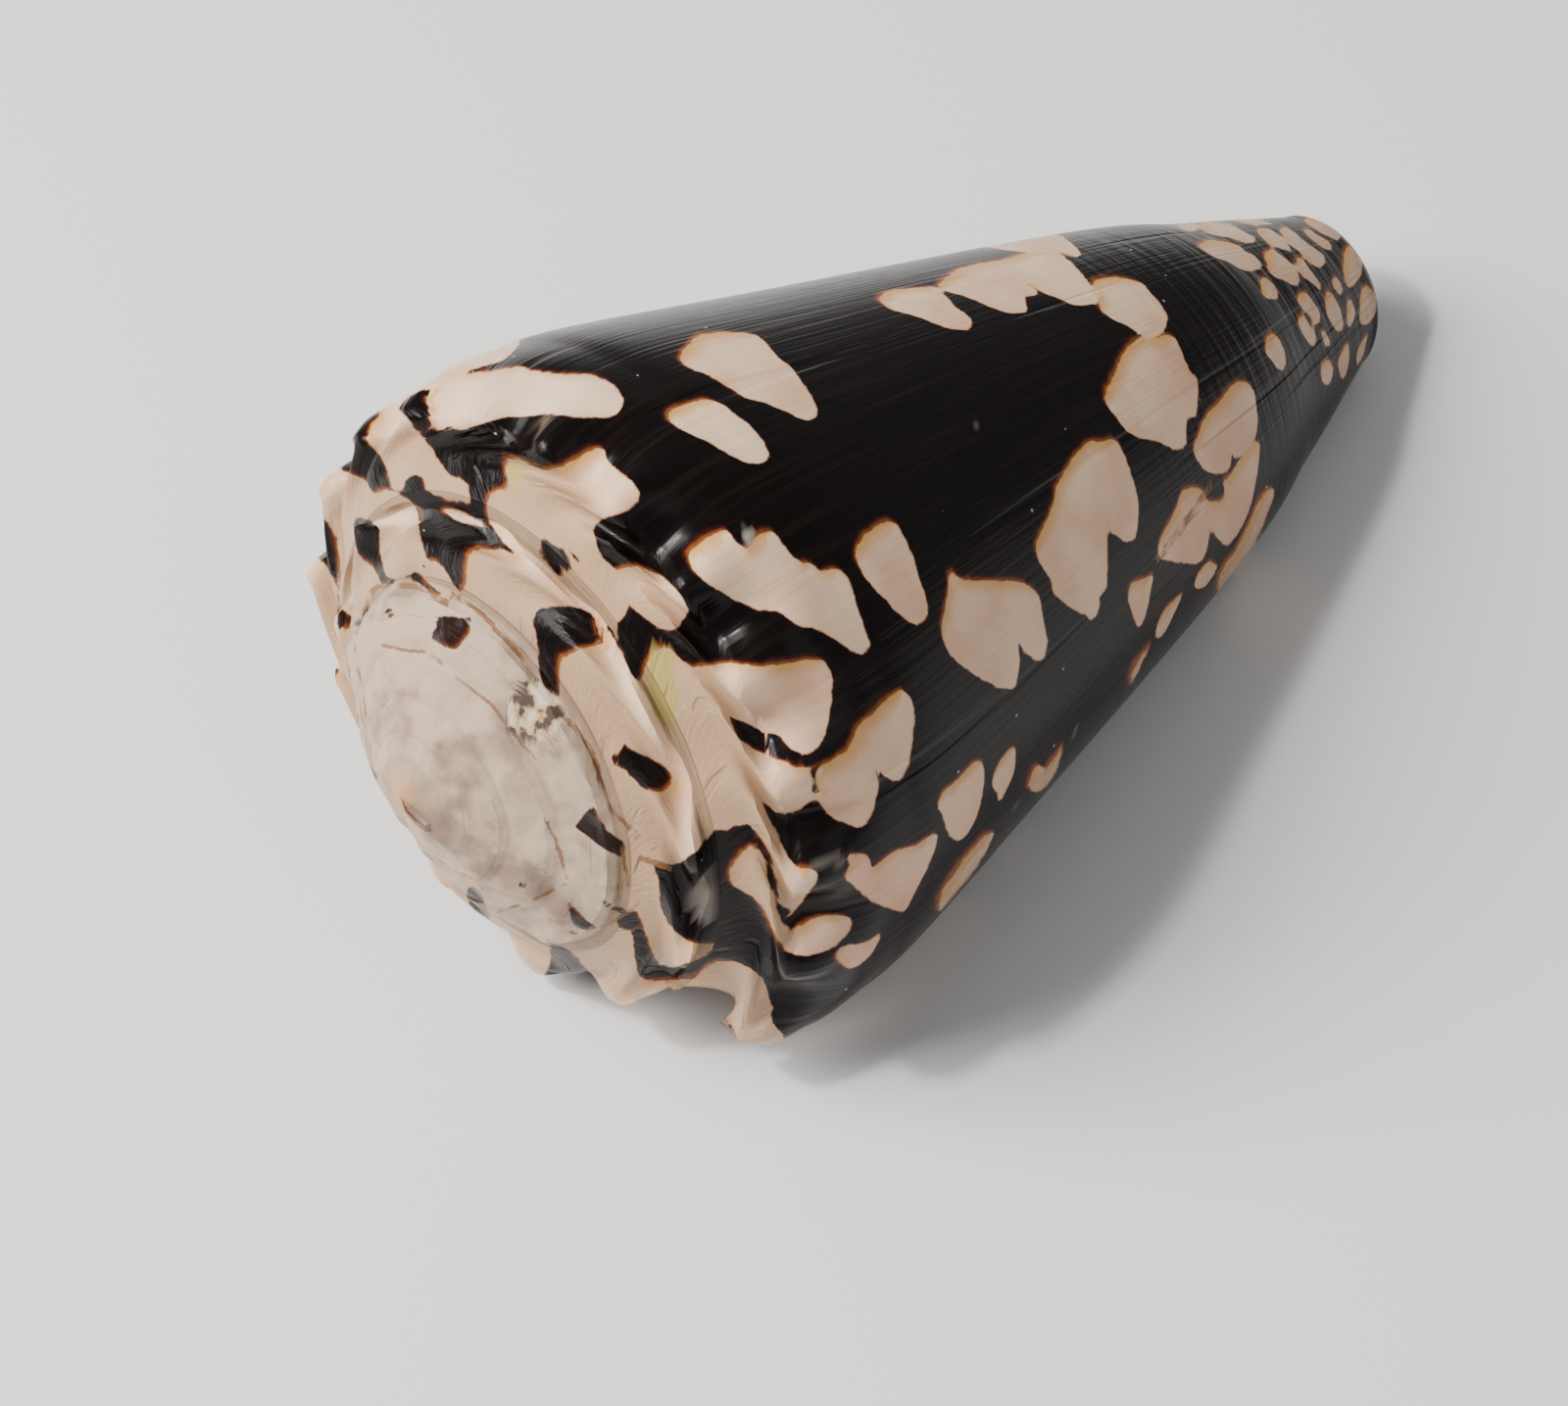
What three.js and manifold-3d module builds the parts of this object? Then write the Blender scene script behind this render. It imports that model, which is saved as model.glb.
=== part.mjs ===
// A cone shell, conus nocturnus, lying with its aperture down. Millimetres, +Z up.
// It grew as one piece, so it is one solid: a low coiled spire, a crown of knobs on the shoulder,
// a tall tapering body whorl, and a narrow aperture that runs from the shoulder to the front end.
//
// The surface follows the animal's own rule. Every point has a winding angle, measured back from
// the lip, and the shoulder's radius shrinks by the same share with each turn. Before it is laid
// down, the shell stands on its axis: +Z to the apex, the lip's shoulder on +X at height zero.
import * as THREE from "three";
import { mergeVertices } from "three/addons/utils/BufferGeometryUtils.js";
import Module from "manifold-3d";

const TURN = 2 * Math.PI;
const degrees = THREE.MathUtils.degToRad;
const { clamp, lerp, smoothstep } = THREE.MathUtils;

// Driving dimensions, in millimetres and turns
const SHOULDER_RADIUS = 15;
const BODY_LENGTH = 43.5;
const SPIRE_HEIGHT = 7.8;
const FRONT_RADIUS = 4.2;
const FRONT_ROUNDING = 1.7;
const GROWTH_PER_TURN = 1.277;
const EARLY_TIGHTENING = 0.00044;
const SPIRE_CURVE = 1.28;
const SPIRE_TURNS = 4;
const SUTURE_DROP = 0.046;
const RAMP_HOLLOW = 0.1;

// The shoulder's rounding: how deep it is, how much of that it also draws in, how sharply it sets
// in towards the shoulder, and the share of the side that it reaches down
const SHOULDER_ROUNDING = 0.5;
const ROUNDING_DRAWN_IN = 0.6;
const ROUNDING_POWER = 4;
const ROUNDING_REACH = 0.03;

// How fast the front end narrows back from the lip, per turn, and how much faster further in
const FRONT_SHRINK = 0.44;
const FRONT_SHRINK_LATE = 0.25;

// The body whorl's side, as [share of the way down, mm that it stands out from a straight cone
// between the shoulder and the front end]
const SIDE_FULLNESS = [
  [0, 0], [0.05, 1.11], [0.12, 1.98], [0.22, 2.32], [0.36, 2.25], [0.52, 2.18], [0.7, 2.0],
  [0.86, 1.09], [1, 0],
];

// Knobs on the shoulder, as [degrees back from the lip, height], closer together as it grew
const KNOBS = [
  [-14, 0.6], [5, 1], [28, 1], [47, 1], [64, 1.1], [81, 1], [97, 1], [114, 1], [131, 0.9],
  [149, 0.7], [167, 0.8], [185, 0.9], [203, 1.2], [224, 1.5], [246, 1.1], [267, 1], [288, 1.1],
  [317, 1], [347, 1], [381, 1.2], [410, 1.3], [442, 1.1], [478, 1.1], [512, 1], [546, 1],
  [582, 1], [620, 0.8], [660, 0.6],
];
const KNOB_OUT = 0.055;
const KNOB_UP = 0.045;
const KNOB_MEAN = 0.35;
const KNOB_LEAN = 13;
const KNOB_REACH_ON_RAMP = 0.5;
const KNOB_REACH_ON_SIDE = 0.055;

// Where the old turns are worn smooth, in degrees back from the lip, and how fully
const WEAR_FROM = 540;
const WEAR_TO = 700;
const WEAR_SHARE = 0.85;

// The growth lines across the ramp, which the lip's edge shows as a notch beside the suture:
// [share of the way from the suture to the shoulder, degrees back from the lip]
const NOTCH = [
  [0, 0], [0.15, 4.5], [0.3, 7.5], [0.45, 8.6], [0.63, 4], [0.76, -2], [0.88, -3.4], [1, -1.4],
];
const NOTCH_FADE = 0.1;
const NOTCH_START = 0.1;
const NOTCH_END = 0.82;
const NOTCH_STEPS = 12;
const NOTCH_CUT_HEIGHT = 4;
const NOTCH_CUT_BASE = -2.4;

// The aperture: a slot under the lip, between the lip's wall and the turn before it
const LIP_WALL = 0.8;
const INNER_WALL = 1.6;
const ROOF_WALL = 0.75;
const ROOF_UNDER = 0.85;
const WALL_THICKENS_OVER = 60;
const APERTURE_BACK = 150;
const APERTURE_AHEAD = 7;
const SLOT_LIFT = 0.12;
const SLOT_LIFT_AHEAD = 0.7;
const SLOT_LEAST = 0.3;
const SLOT_FLOOR = -49;

// How it lies: turned about its axis until the aperture is down, and tipped on to its side
const ROLL = -129.5;
const TIP = -76.84;
const REST_FLAT = 0.12;
const TABLE_SIZE = 200;
const TABLE_THICKNESS = 20;

// Mesh fineness, and how strongly the rows crowd towards the shoulder
const COLUMNS = 96;
const RAMP_ROWS = 5;
const SIDE_ROWS = 16;
const CAP_ROWS = 3;
const SLOT_COLUMNS = 20;
const SLOT_ROWS = 12;
const SIDE_CROWDING = 1.5;
const SLOT_CROWDING = 1.3;
const MERGE_WITHIN = 1e-4;

// The share of full size that the shell had, an angle back from the lip
function growth(angle) {
  const turns = angle / TURN;
  return Math.exp(-(Math.log(GROWTH_PER_TURN) * turns + EARLY_TIGHTENING * angle * Math.abs(angle)));
}

function shoulder(angle) {
  const size = growth(angle);
  return { r: SHOULDER_RADIUS * size, z: SPIRE_HEIGHT * (1 - size ** SPIRE_CURVE) };
}

// A smooth curve through a list of [place, value] pairs, level where the values turn
function smoothThrough(pairs, place) {
  const last = pairs.length - 2;
  const after = pairs.findIndex((pair) => pair[0] > place);
  const at = after < 0 ? last : clamp(after - 1, 0, last);
  const span = (n) => pairs[n + 1][0] - pairs[n][0];
  const slope = (n) => (pairs[n + 1][1] - pairs[n][1]) / span(n);
  const tangent = (n) => {
    if (n < 1) return slope(0);
    if (n > last) return slope(last);
    const product = slope(n - 1) * slope(n);
    return product > 0 ? (2 * product) / (slope(n - 1) + slope(n)) : 0;
  };
  const t = (place - pairs[at][0]) / span(at);
  const bow = span(at) * t * (1 - t);
  const between = lerp(pairs[at][1], pairs[at + 1][1], t * t * (3 - 2 * t));
  return between + bow * ((1 - t) * tangent(at) - t * tangent(at + 1));
}

// Its height on a knob's crest, below zero in the valley between two, level where it is worn
function knob(angle) {
  const back = THREE.MathUtils.radToDeg(angle);
  const next = KNOBS.findIndex((crest) => crest[0] > back);
  if (next < 1) return 0;
  const [from, to] = [KNOBS[next - 1], KNOBS[next]];
  const share = (back - from[0]) / (to[0] - from[0]);
  const height = share < 0.5 ? from[1] : to[1];
  const worn = smoothstep(back, WEAR_FROM, WEAR_TO);
  return (1 - worn) * (height * (0.5 + 0.5 * Math.cos(share * TURN)) - KNOB_MEAN);
}

// The spire's surface, 0 at the inner suture and 1 at the shoulder
function ramp(angle, across) {
  const size = growth(angle);
  const outer = shoulder(angle);
  const inner = shoulder(angle + TURN);
  const width = outer.r - inner.r;
  const innerZ = inner.z - SUTURE_DROP * SHOULDER_RADIUS * size;
  const hollow = RAMP_HOLLOW * width * Math.sin(Math.PI * across);
  const rounding = SHOULDER_ROUNDING * size * across ** ROUNDING_POWER;
  const lean = degrees(KNOB_LEAN) * (1 - across);
  const nearEdge = Math.exp(-(((1 - across) / KNOB_REACH_ON_RAMP) ** 2));
  const crest = knob(angle - lean) * nearEdge * outer.r;
  const drawnIn = ROUNDING_DRAWN_IN * rounding;
  const r = inner.r + width * across + KNOB_OUT * crest * across - drawnIn;
  const grown = lerp(innerZ, outer.z, across) - hollow - rounding + KNOB_UP * crest;
  const smooth = SPIRE_HEIGHT * (1 - (r / SHOULDER_RADIUS) ** SPIRE_CURVE);
  const worn = smoothstep(THREE.MathUtils.radToDeg(angle), WEAR_FROM, WEAR_TO);
  return { r, z: lerp(grown, smooth, WEAR_SHARE * worn) };
}

// The body whorl's side: 0 at the shoulder, 1 at the front end
function side(angle, down) {
  const top = shoulder(angle);
  const turns = angle / TURN;
  const cone = lerp(SHOULDER_RADIUS, FRONT_RADIUS, down) + smoothThrough(SIDE_FULLNESS, down);
  const frontSize = Math.exp(-FRONT_SHRINK * turns - FRONT_SHRINK_LATE * Math.max(0, turns) ** 3);
  const size = lerp(growth(angle), frontSize, down);
  const crest = knob(angle) * Math.exp(-((down / KNOB_REACH_ON_SIDE) ** 2)) * top.r;
  const rounding = SHOULDER_ROUNDING * size * Math.exp(-down / ROUNDING_REACH);
  return {
    r: cone * size + KNOB_OUT * crest - ROUNDING_DRAWN_IN * rounding,
    z: lerp(top.z, -BODY_LENGTH, down) + KNOB_UP * crest - rounding,
  };
}

function place({ r, z }, angle) {
  return [r * Math.cos(angle), r * Math.sin(angle), z];
}

// How far, in radians, a growth line bends back across the ramp, and down the side
function bendOnRamp(across) {
  return degrees(smoothThrough(NOTCH, across));
}

function bendOnSide(down) {
  return bendOnRamp(1) * Math.exp(-down / NOTCH_FADE);
}

// Points down the side, closer together under the shoulder, the first one at the suture's depth
function downAt(row) {
  const first = (SUTURE_DROP * SHOULDER_RADIUS) / BODY_LENGTH;
  return first + (1 - first) * ((row - 1) / (SIDE_ROWS - 1)) ** SIDE_CROWDING;
}

// The whole shell as one closed solid, still filled where the aperture will be
function filledShell() {
  const points = [];
  const faces = [];
  const add = (p) => points.push(p) - 1;
  const quad = (a, b, c, d) => faces.push(a, b, c, a, c, d);
  const columns = COLUMNS * SPIRE_TURNS;
  const angleOf = (column) => (column / COLUMNS) * TURN;

  const ramps = [];
  for (let i = 0; i <= columns; i++) {
    const rows = [];
    for (let k = 0; k <= RAMP_ROWS; k++) {
      const across = k / RAMP_ROWS;
      const angle = angleOf(i) + bendOnRamp(across);
      rows.push(add(place(ramp(angle, across), angle)));
    }
    ramps.push(rows);
  }
  const sides = [];
  for (let i = 0; i <= COLUMNS; i++) {
    const rows = [ramps[i][RAMP_ROWS]];
    for (let j = 1; j <= SIDE_ROWS; j++) {
      const suture = i === COLUMNS && j === 1;
      const angle = angleOf(i) + bendOnSide(downAt(j));
      rows.push(suture ? ramps[0][0] : add(place(side(angle, downAt(j)), angle)));
    }
    sides.push(rows);
  }

  for (let i = 0; i < columns; i++) {
    for (let k = 0; k < RAMP_ROWS; k++) {
      quad(ramps[i][k], ramps[i][k + 1], ramps[i + 1][k + 1], ramps[i + 1][k]);
    }
    if (i >= COLUMNS) {
      const outer = i - COLUMNS;
      quad(ramps[i][RAMP_ROWS], ramps[outer][0], ramps[outer + 1][0], ramps[i + 1][RAMP_ROWS]);
    }
  }
  for (let i = 0; i < COLUMNS; i++) {
    for (let j = 0; j < SIDE_ROWS; j++) {
      quad(sides[i][j], sides[i][j + 1], sides[i + 1][j + 1], sides[i + 1][j]);
    }
  }

  // The wall behind the lip, from the lip's edge to the turn before it
  const lip = sides[0];
  const before = sides[COLUMNS];
  for (let k = 1; k < RAMP_ROWS; k++) faces.push(before[1], ramps[0][k + 1], ramps[0][k]);
  faces.push(before[1], lip[1], ramps[0][RAMP_ROWS]);
  for (let j = 1; j < SIDE_ROWS; j++) quad(lip[j], before[j], before[j + 1], lip[j + 1]);

  // The rounded front end
  let ring = sides.map((rows) => rows[SIDE_ROWS]);
  for (let step = 1; step < CAP_ROWS; step++) {
    const quarter = (step / CAP_ROWS) * (Math.PI / 2);
    const next = ring.map((_, i) => {
      const { r, z } = side(angleOf(i), 1);
      const rounded = { r: r * Math.cos(quarter), z: z - FRONT_ROUNDING * Math.sin(quarter) };
      return add(place(rounded, angleOf(i)));
    });
    ring.forEach((_, i) => {
      const j = (i + 1) % ring.length;
      quad(ring[i], next[i], next[j], ring[j]);
    });
    ring = next;
  }
  const front = add([0, 0, -BODY_LENGTH - FRONT_ROUNDING]);
  ring.forEach((_, i) => faces.push(ring[i], front, ring[(i + 1) % ring.length]));

  // The tip of the spire, closed over its innermost turn
  const apex = add([0, 0, SPIRE_HEIGHT]);
  const innermost = ramps.slice(columns - COLUMNS).map((rows) => rows[0]);
  innermost.slice(1).forEach((_, i) => faces.push(apex, innermost[i], innermost[i + 1]));
  const end = ramps[columns];
  const step = [...end, innermost[0]];
  for (let k = 0; k < step.length - 1; k++) faces.push(apex, step[k], step[k + 1]);

  return toGeometry(points, faces);
}

// The room that the aperture leaves, from just outside the lip to half a turn inside
function apertureRoom() {
  const points = [];
  const faces = [];
  const quad = (a, b, c, d) => faces.push(a, b, c, a, c, d);
  const outer = [];
  const inner = [];
  for (let i = 0; i <= SLOT_COLUMNS; i++) {
    const back = lerp(-APERTURE_AHEAD, APERTURE_BACK, (i / SLOT_COLUMNS) ** SLOT_CROWDING);
    const angle = degrees(back);
    const wall = lerp(LIP_WALL, INNER_WALL, smoothstep(back, 0, WALL_THICKENS_OVER));
    const lift = lerp(SLOT_LIFT_AHEAD, SLOT_LIFT, smoothstep(back, -APERTURE_AHEAD, 0));
    const roof = ramp(angle, ROOF_UNDER).z - ROOF_WALL;
    const corner = ramp(angle, 0).z - ROOF_WALL;
    outer.push([]);
    inner.push([]);
    for (let j = 0; j <= SLOT_ROWS; j++) {
      const share = (j / SLOT_ROWS) ** SLOT_CROWDING;
      const skinDepth = lerp(roof, SLOT_FLOOR, share);
      const coreDepth = lerp(corner, SLOT_FLOOR, share);
      const skin = side(angle, clamp(-skinDepth / BODY_LENGTH, 0, 1)).r - wall;
      const core = side(angle + TURN, clamp(-coreDepth / BODY_LENGTH, 0, 1)).r + lift;
      const inside = Math.min(core, skin - SLOT_LEAST);
      outer[i].push(points.push(place({ r: skin, z: skinDepth }, angle)) - 1);
      inner[i].push(points.push(place({ r: inside, z: coreDepth }, angle)) - 1);
    }
  }
  for (let i = 0; i < SLOT_COLUMNS; i++) {
    for (let j = 0; j < SLOT_ROWS; j++) {
      quad(outer[i][j], outer[i][j + 1], outer[i + 1][j + 1], outer[i + 1][j]);
      quad(inner[i][j], inner[i + 1][j], inner[i + 1][j + 1], inner[i][j + 1]);
    }
    quad(outer[i][0], outer[i + 1][0], inner[i + 1][0], inner[i][0]);
    quad(outer[i][SLOT_ROWS], inner[i][SLOT_ROWS], inner[i + 1][SLOT_ROWS], outer[i + 1][SLOT_ROWS]);
  }
  for (let j = 0; j < SLOT_ROWS; j++) {
    const last = SLOT_COLUMNS;
    quad(outer[0][j], inner[0][j], inner[0][j + 1], outer[0][j + 1]);
    quad(outer[last][j], outer[last][j + 1], inner[last][j + 1], inner[last][j]);
  }
  return toGeometry(points, faces);
}

// What the notch leaves out of the ramp: the room ahead of its growth line, cut straight through
function notchRoom() {
  const outline = new THREE.Shape();
  const corner = (across, angle) => {
    const { r } = ramp(angle, across);
    return [r * Math.cos(angle), r * Math.sin(angle)];
  };
  const ahead = degrees(-APERTURE_AHEAD);
  outline.moveTo(...corner(NOTCH_START, ahead));
  outline.lineTo(...corner(NOTCH_END, ahead));
  for (let step = NOTCH_STEPS; step >= 0; step--) {
    const across = lerp(NOTCH_START, NOTCH_END, step / NOTCH_STEPS);
    outline.lineTo(...corner(across, bendOnRamp(across)));
  }
  outline.closePath();
  const room = new THREE.ExtrudeGeometry(outline, { depth: NOTCH_CUT_HEIGHT, bevelEnabled: false });
  room.translate(0, 0, NOTCH_CUT_BASE);
  return room;
}

function toGeometry(points, faces) {
  const geometry = new THREE.BufferGeometry();
  geometry.setAttribute("position", new THREE.Float32BufferAttribute(points.flat(), 3));
  geometry.setIndex(faces);
  return geometry;
}

const wasm = await Module();
wasm.setup();

function toSolid(geometry) {
  const bare = geometry.clone();
  bare.deleteAttribute("normal");
  bare.deleteAttribute("uv");
  const merged = mergeVertices(bare, MERGE_WITHIN);
  const vertProperties = merged.attributes.position.array;
  const triVerts = new Uint32Array(merged.index.array);
  return new wasm.Manifold(new wasm.Mesh({ numProp: 3, vertProperties, triVerts }));
}

function fromSolid(solid) {
  const mesh = solid.getMesh();
  const geometry = new THREE.BufferGeometry();
  geometry.setAttribute("position", new THREE.BufferAttribute(new Float32Array(mesh.vertProperties), 3));
  geometry.setIndex(new THREE.BufferAttribute(new Uint32Array(mesh.triVerts), 1));
  return geometry;
}

// Laid on its side, centred over the origin, and set down until its lowest points are flats
function layDown(geometry) {
  geometry.rotateZ(degrees(ROLL));
  geometry.rotateY(degrees(TIP));
  geometry.computeBoundingBox();
  const { min, max } = geometry.boundingBox;
  geometry.translate(-(min.x + max.x) / 2, -(min.y + max.y) / 2, -min.z - REST_FLAT);
  const table = new THREE.BoxGeometry(TABLE_SIZE, TABLE_SIZE, TABLE_THICKNESS);
  table.translate(0, 0, -TABLE_THICKNESS / 2);
  return fromSolid(toSolid(geometry).subtract(toSolid(table)));
}

const hollowed = toSolid(filledShell())
  .subtract(toSolid(apertureRoom()))
  .subtract(toSolid(notchRoom()));
const resting = layDown(fromSolid(hollowed));
resting.computeVertexNormals();

const shell = new THREE.Mesh(
  resting,
  new THREE.MeshStandardMaterial({ color: 0x1c1210, roughness: 0.3, metalness: 0 }),
);
shell.name = "shell";

const coneShell = new THREE.Group();
coneShell.add(shell);

export default coneShell;
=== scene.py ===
import math

import bpy
import numpy as np
from mathutils import Euler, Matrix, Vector, noise
from mathutils.bvhtree import BVHTree


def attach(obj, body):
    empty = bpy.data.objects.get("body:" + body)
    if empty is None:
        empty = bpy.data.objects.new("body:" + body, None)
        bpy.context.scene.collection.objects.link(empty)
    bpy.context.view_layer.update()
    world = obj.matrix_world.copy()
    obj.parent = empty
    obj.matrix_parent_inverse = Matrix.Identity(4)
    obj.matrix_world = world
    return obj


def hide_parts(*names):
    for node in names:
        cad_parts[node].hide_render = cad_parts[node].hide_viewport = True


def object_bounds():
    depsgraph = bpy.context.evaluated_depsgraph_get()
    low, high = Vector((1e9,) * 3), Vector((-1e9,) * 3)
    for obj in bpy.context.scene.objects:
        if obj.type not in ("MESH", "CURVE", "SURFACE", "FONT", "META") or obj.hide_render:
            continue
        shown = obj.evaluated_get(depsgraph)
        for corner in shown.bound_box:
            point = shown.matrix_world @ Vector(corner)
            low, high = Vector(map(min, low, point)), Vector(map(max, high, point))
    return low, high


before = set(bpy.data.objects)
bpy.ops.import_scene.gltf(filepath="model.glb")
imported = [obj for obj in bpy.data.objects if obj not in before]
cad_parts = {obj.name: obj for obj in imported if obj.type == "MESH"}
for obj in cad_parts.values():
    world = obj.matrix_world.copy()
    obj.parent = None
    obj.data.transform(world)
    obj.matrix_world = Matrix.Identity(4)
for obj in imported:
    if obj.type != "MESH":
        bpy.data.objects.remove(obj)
cad_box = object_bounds()

# The shell is worked out in millimetres and radians, standing on its axis: +Z to the apex, and the
# shoulder at the lip on +X at height zero. Winding angles run back from the lip.
MM = 0.001
TURN = 2 * math.pi

# How it lies: turned about its axis, tipped on to its side, and moved over the origin
ROLL = math.radians(-129.5)
TIP = math.radians(-76.84)
LAID_AT = (-18.281, 0.876, 12.693)

# The finer surface is drawn in a little, so that it stays inside the plain solid's box
DRAWN_IN = (0.998, 0.996, 0.9975)

# The camera, in millimetres and degrees, with the lens that shows the shell at the photograph's
# size, and how near and far it sees, in metres
CAMERA_AT = (-81.007, -106.762, 158.387)
CAMERA_TURN = (39.493, 7.186, -43.009)
LENS = 112.5
SENSOR = 36
PHOTO_SIZE = (1600, 1435)
CLIP = (0.01, 10)

# The floor, in metres, and the lights: name, place and width in millimetres, watts and colour
FLOOR_HALF = 3
FLOOR_ROUGH = 0.9
FLOOR_COLOUR = (0.8, 0.8, 0.8)
SKY_COLOUR = (1, 1, 1)
SKY_STRENGTH = 0.32
LIGHTS = [
    ("window", (-190, 150, 260), 230, 2.1, (1, 0.98, 0.95)),
    ("lamp", (-120, 40, 230), 22, 0.34, (1, 0.99, 0.97)),
    ("fill", (60, -260, 180), 260, 0.12, (1, 1, 1)),
]

# Faces that meet at more than this show a sharp edge
SHARP_EDGE = math.radians(50)

# The growth rule: sizes in millimetres, growth for each turn
SIZES = {
    "Shoulder radius": 15,
    "Body length": 43.5,
    "Spire height": 7.8,
    "Front radius": 4.2,
    "Front rounding": 1.7,
    "Growth per turn": 1.277,
    "Early tightening": 0.00044,
    "Spire curve": 1.28,
    "Suture drop": 0.69,
    "Ramp hollow": 0.1,
    "Shoulder rounding": 0.5,
    "Front shrink": 0.44,
    "Front shrink late": 0.25,
    "Knob out": 0.055,
    "Knob up": 0.045,
    "Knob mean": 0.35,
    "Knob lean": math.radians(13),
    "Wear from": 1.5,
    "Wear to": 1.944,
    "Lip wall": 0.8,
    "Inner wall": 1.6,
    "Roof wall": 0.75,
    "Knob reach on ramp": 0.5,
    "Knob reach on side": 0.055,
    "Rounding drawn in": 0.6,
    "Rounding reach": 0.03,
    "Wear share": 0.85,
    "Notch fade": 0.1,
    "Join reach": 0.03,
    "Join from": 0.93,
    "Row crowding": 1.25,
    "Slot back": math.radians(150),
    "Slot ahead": math.radians(7),
    "Slot lift": 0.12,
    "Slot lift ahead": 0.7,
    "Slot least": 0.3,
    "Slot floor": -49,
    "Slot crowding": 1.3,
    "Wall thickens over": math.radians(60),
    "Roof under": 0.85,
    "Notch start": 0.1,
    "Notch end": 0.82,
    "Notch top": 1.6,
    "Notch depth": 4,
}
SPIRE_TURNS = 6

# Rows and columns of the surface's grid
COLUMNS = 300
RAMP_ROWS = 10
RISER_ROWS = 3
SIDE_ROWS = 165
CAP_ROWS = 8
TIP_ROWS = 3
SLOT_COLUMNS = 60
SLOT_ROWS = 60
NOTCH_COLUMNS = 12
MERGE_WITHIN = 0.002

# How far the body whorl's side stands out from a straight cone: share of the way down, millimetres
FULLNESS = [
    (0, 0), (0.05, 1.11), (0.12, 1.98), (0.22, 2.32), (0.36, 2.25), (0.52, 2.18), (0.7, 2.0),
    (0.86, 1.09), (1, 0),
]

# Knobs on the shoulder: degrees back from the lip, height
KNOBS = [
    (-14, 0.6), (5, 1), (28, 1), (47, 1), (64, 1.1), (81, 1), (97, 1), (114, 1), (131, 0.9),
    (149, 0.7), (167, 0.8), (185, 0.9), (203, 1.2), (224, 1.5), (246, 1.1), (267, 1), (288, 1.1),
    (317, 1), (347, 1), (381, 1.2), (410, 1.3), (442, 1.1), (478, 1.1), (512, 1), (546, 1),
    (582, 1), (620, 0.8), (660, 0.6), (700, 0.5), (740, 0.5),
]

# Growth lines across the ramp: share of the way out from the suture, degrees back from the lip
NOTCH = [
    (0, 0), (0.15, 4.5), (0.3, 7.5), (0.45, 8.6), (0.63, 4), (0.76, -2), (0.88, -3.4), (1, -1.4),
]


# Markings. Each is an outline in the photograph's pixels, as they show from the camera.
CROWN = [
    (318, 500), (335, 472), (343, 470), (348, 479), (364, 486), (374, 491), (382, 505), (392, 500),
    (402, 501), (409, 506), (423, 515), (428, 535), (431, 556), (435, 568), (431, 577), (418, 586),
    (407, 592), (419, 597), (433, 599), (443, 608), (451, 606), (446, 602), (433, 594), (431, 585),
    (437, 575), (447, 573), (454, 582), (461, 594), (467, 606), (474, 598), (476, 580), (479, 566),
    (488, 560), (502, 561), (527, 565), (518, 558), (510, 550), (505, 541), (499, 533), (498, 520),
    (496, 509), (503, 502), (512, 500), (521, 499), (518, 487), (515, 473), (518, 469), (526, 467),
    (536, 471), (544, 474), (551, 481), (566, 478), (581, 472), (596, 463), (609, 458), (617, 460),
    (621, 471), (630, 480), (643, 490), (651, 501), (651, 509), (643, 518), (630, 525), (617, 529),
    (610, 533), (605, 541), (609, 552), (611, 563), (619, 572), (630, 582), (641, 578), (651, 578),
    (664, 582), (679, 591), (692, 604), (699, 616), (702, 625), (696, 634), (690, 642), (679, 644),
    (669, 639), (656, 629), (645, 620), (642, 616), (640, 625), (634, 632), (626, 638), (615, 641),
    (621, 646), (628, 651), (632, 661), (639, 676), (647, 691), (651, 696), (656, 689), (660, 676),
    (665, 667), (672, 662), (681, 661), (690, 668), (699, 676), (709, 682), (724, 679), (743, 676),
    (780, 680), (808, 676), (830, 673), (841, 675), (847, 684), (850, 700), (848, 715), (844, 740),
    (839, 757), (831, 767), (822, 770), (811, 766), (802, 759), (796, 752), (780, 746), (765, 740),
    (752, 734), (741, 729), (746, 740), (752, 752), (765, 762), (780, 770), (799, 777), (811, 782),
    (824, 784), (836, 782), (845, 777), (861, 768), (870, 756), (876, 740), (889, 728), (907, 712),
    (918, 704), (923, 706), (931, 717), (934, 728), (932, 752), (928, 777), (921, 794), (914, 797),
    (904, 793), (894, 784), (895, 790), (896, 805), (892, 824), (884, 840), (876, 845), (864, 841),
    (848, 833), (836, 818), (830, 817), (817, 824), (805, 830), (792, 829), (775, 816), (783, 833),
    (794, 852), (800, 867), (808, 881), (814, 886), (827, 886), (834, 891), (834, 899), (827, 908),
    (817, 922), (808, 933), (803, 931), (797, 920), (794, 905), (792, 889), (789, 877), (780, 861),
    (772, 849), (765, 842), (755, 841), (749, 847), (737, 848), (724, 849), (716, 862), (705, 873),
    (694, 880), (683, 882), (672, 880), (665, 876), (668, 887), (672, 898), (673, 914), (676, 931),
    (683, 945), (691, 952), (702, 960), (716, 964), (728, 962), (724, 972), (716, 979), (702, 983),
    (688, 987), (677, 987), (672, 983), (666, 972), (661, 956), (655, 942), (650, 930), (639, 930),
    (629, 937), (628, 942), (631, 946), (642, 949), (646, 958), (647, 975), (650, 991), (655, 998),
    (669, 1002), (686, 1000), (697, 1004), (690, 1012), (640, 1040), (560, 1040), (500, 1000),
    (430, 940), (390, 870), (350, 800), (320, 700), (290, 600), (300, 530),
]
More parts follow.
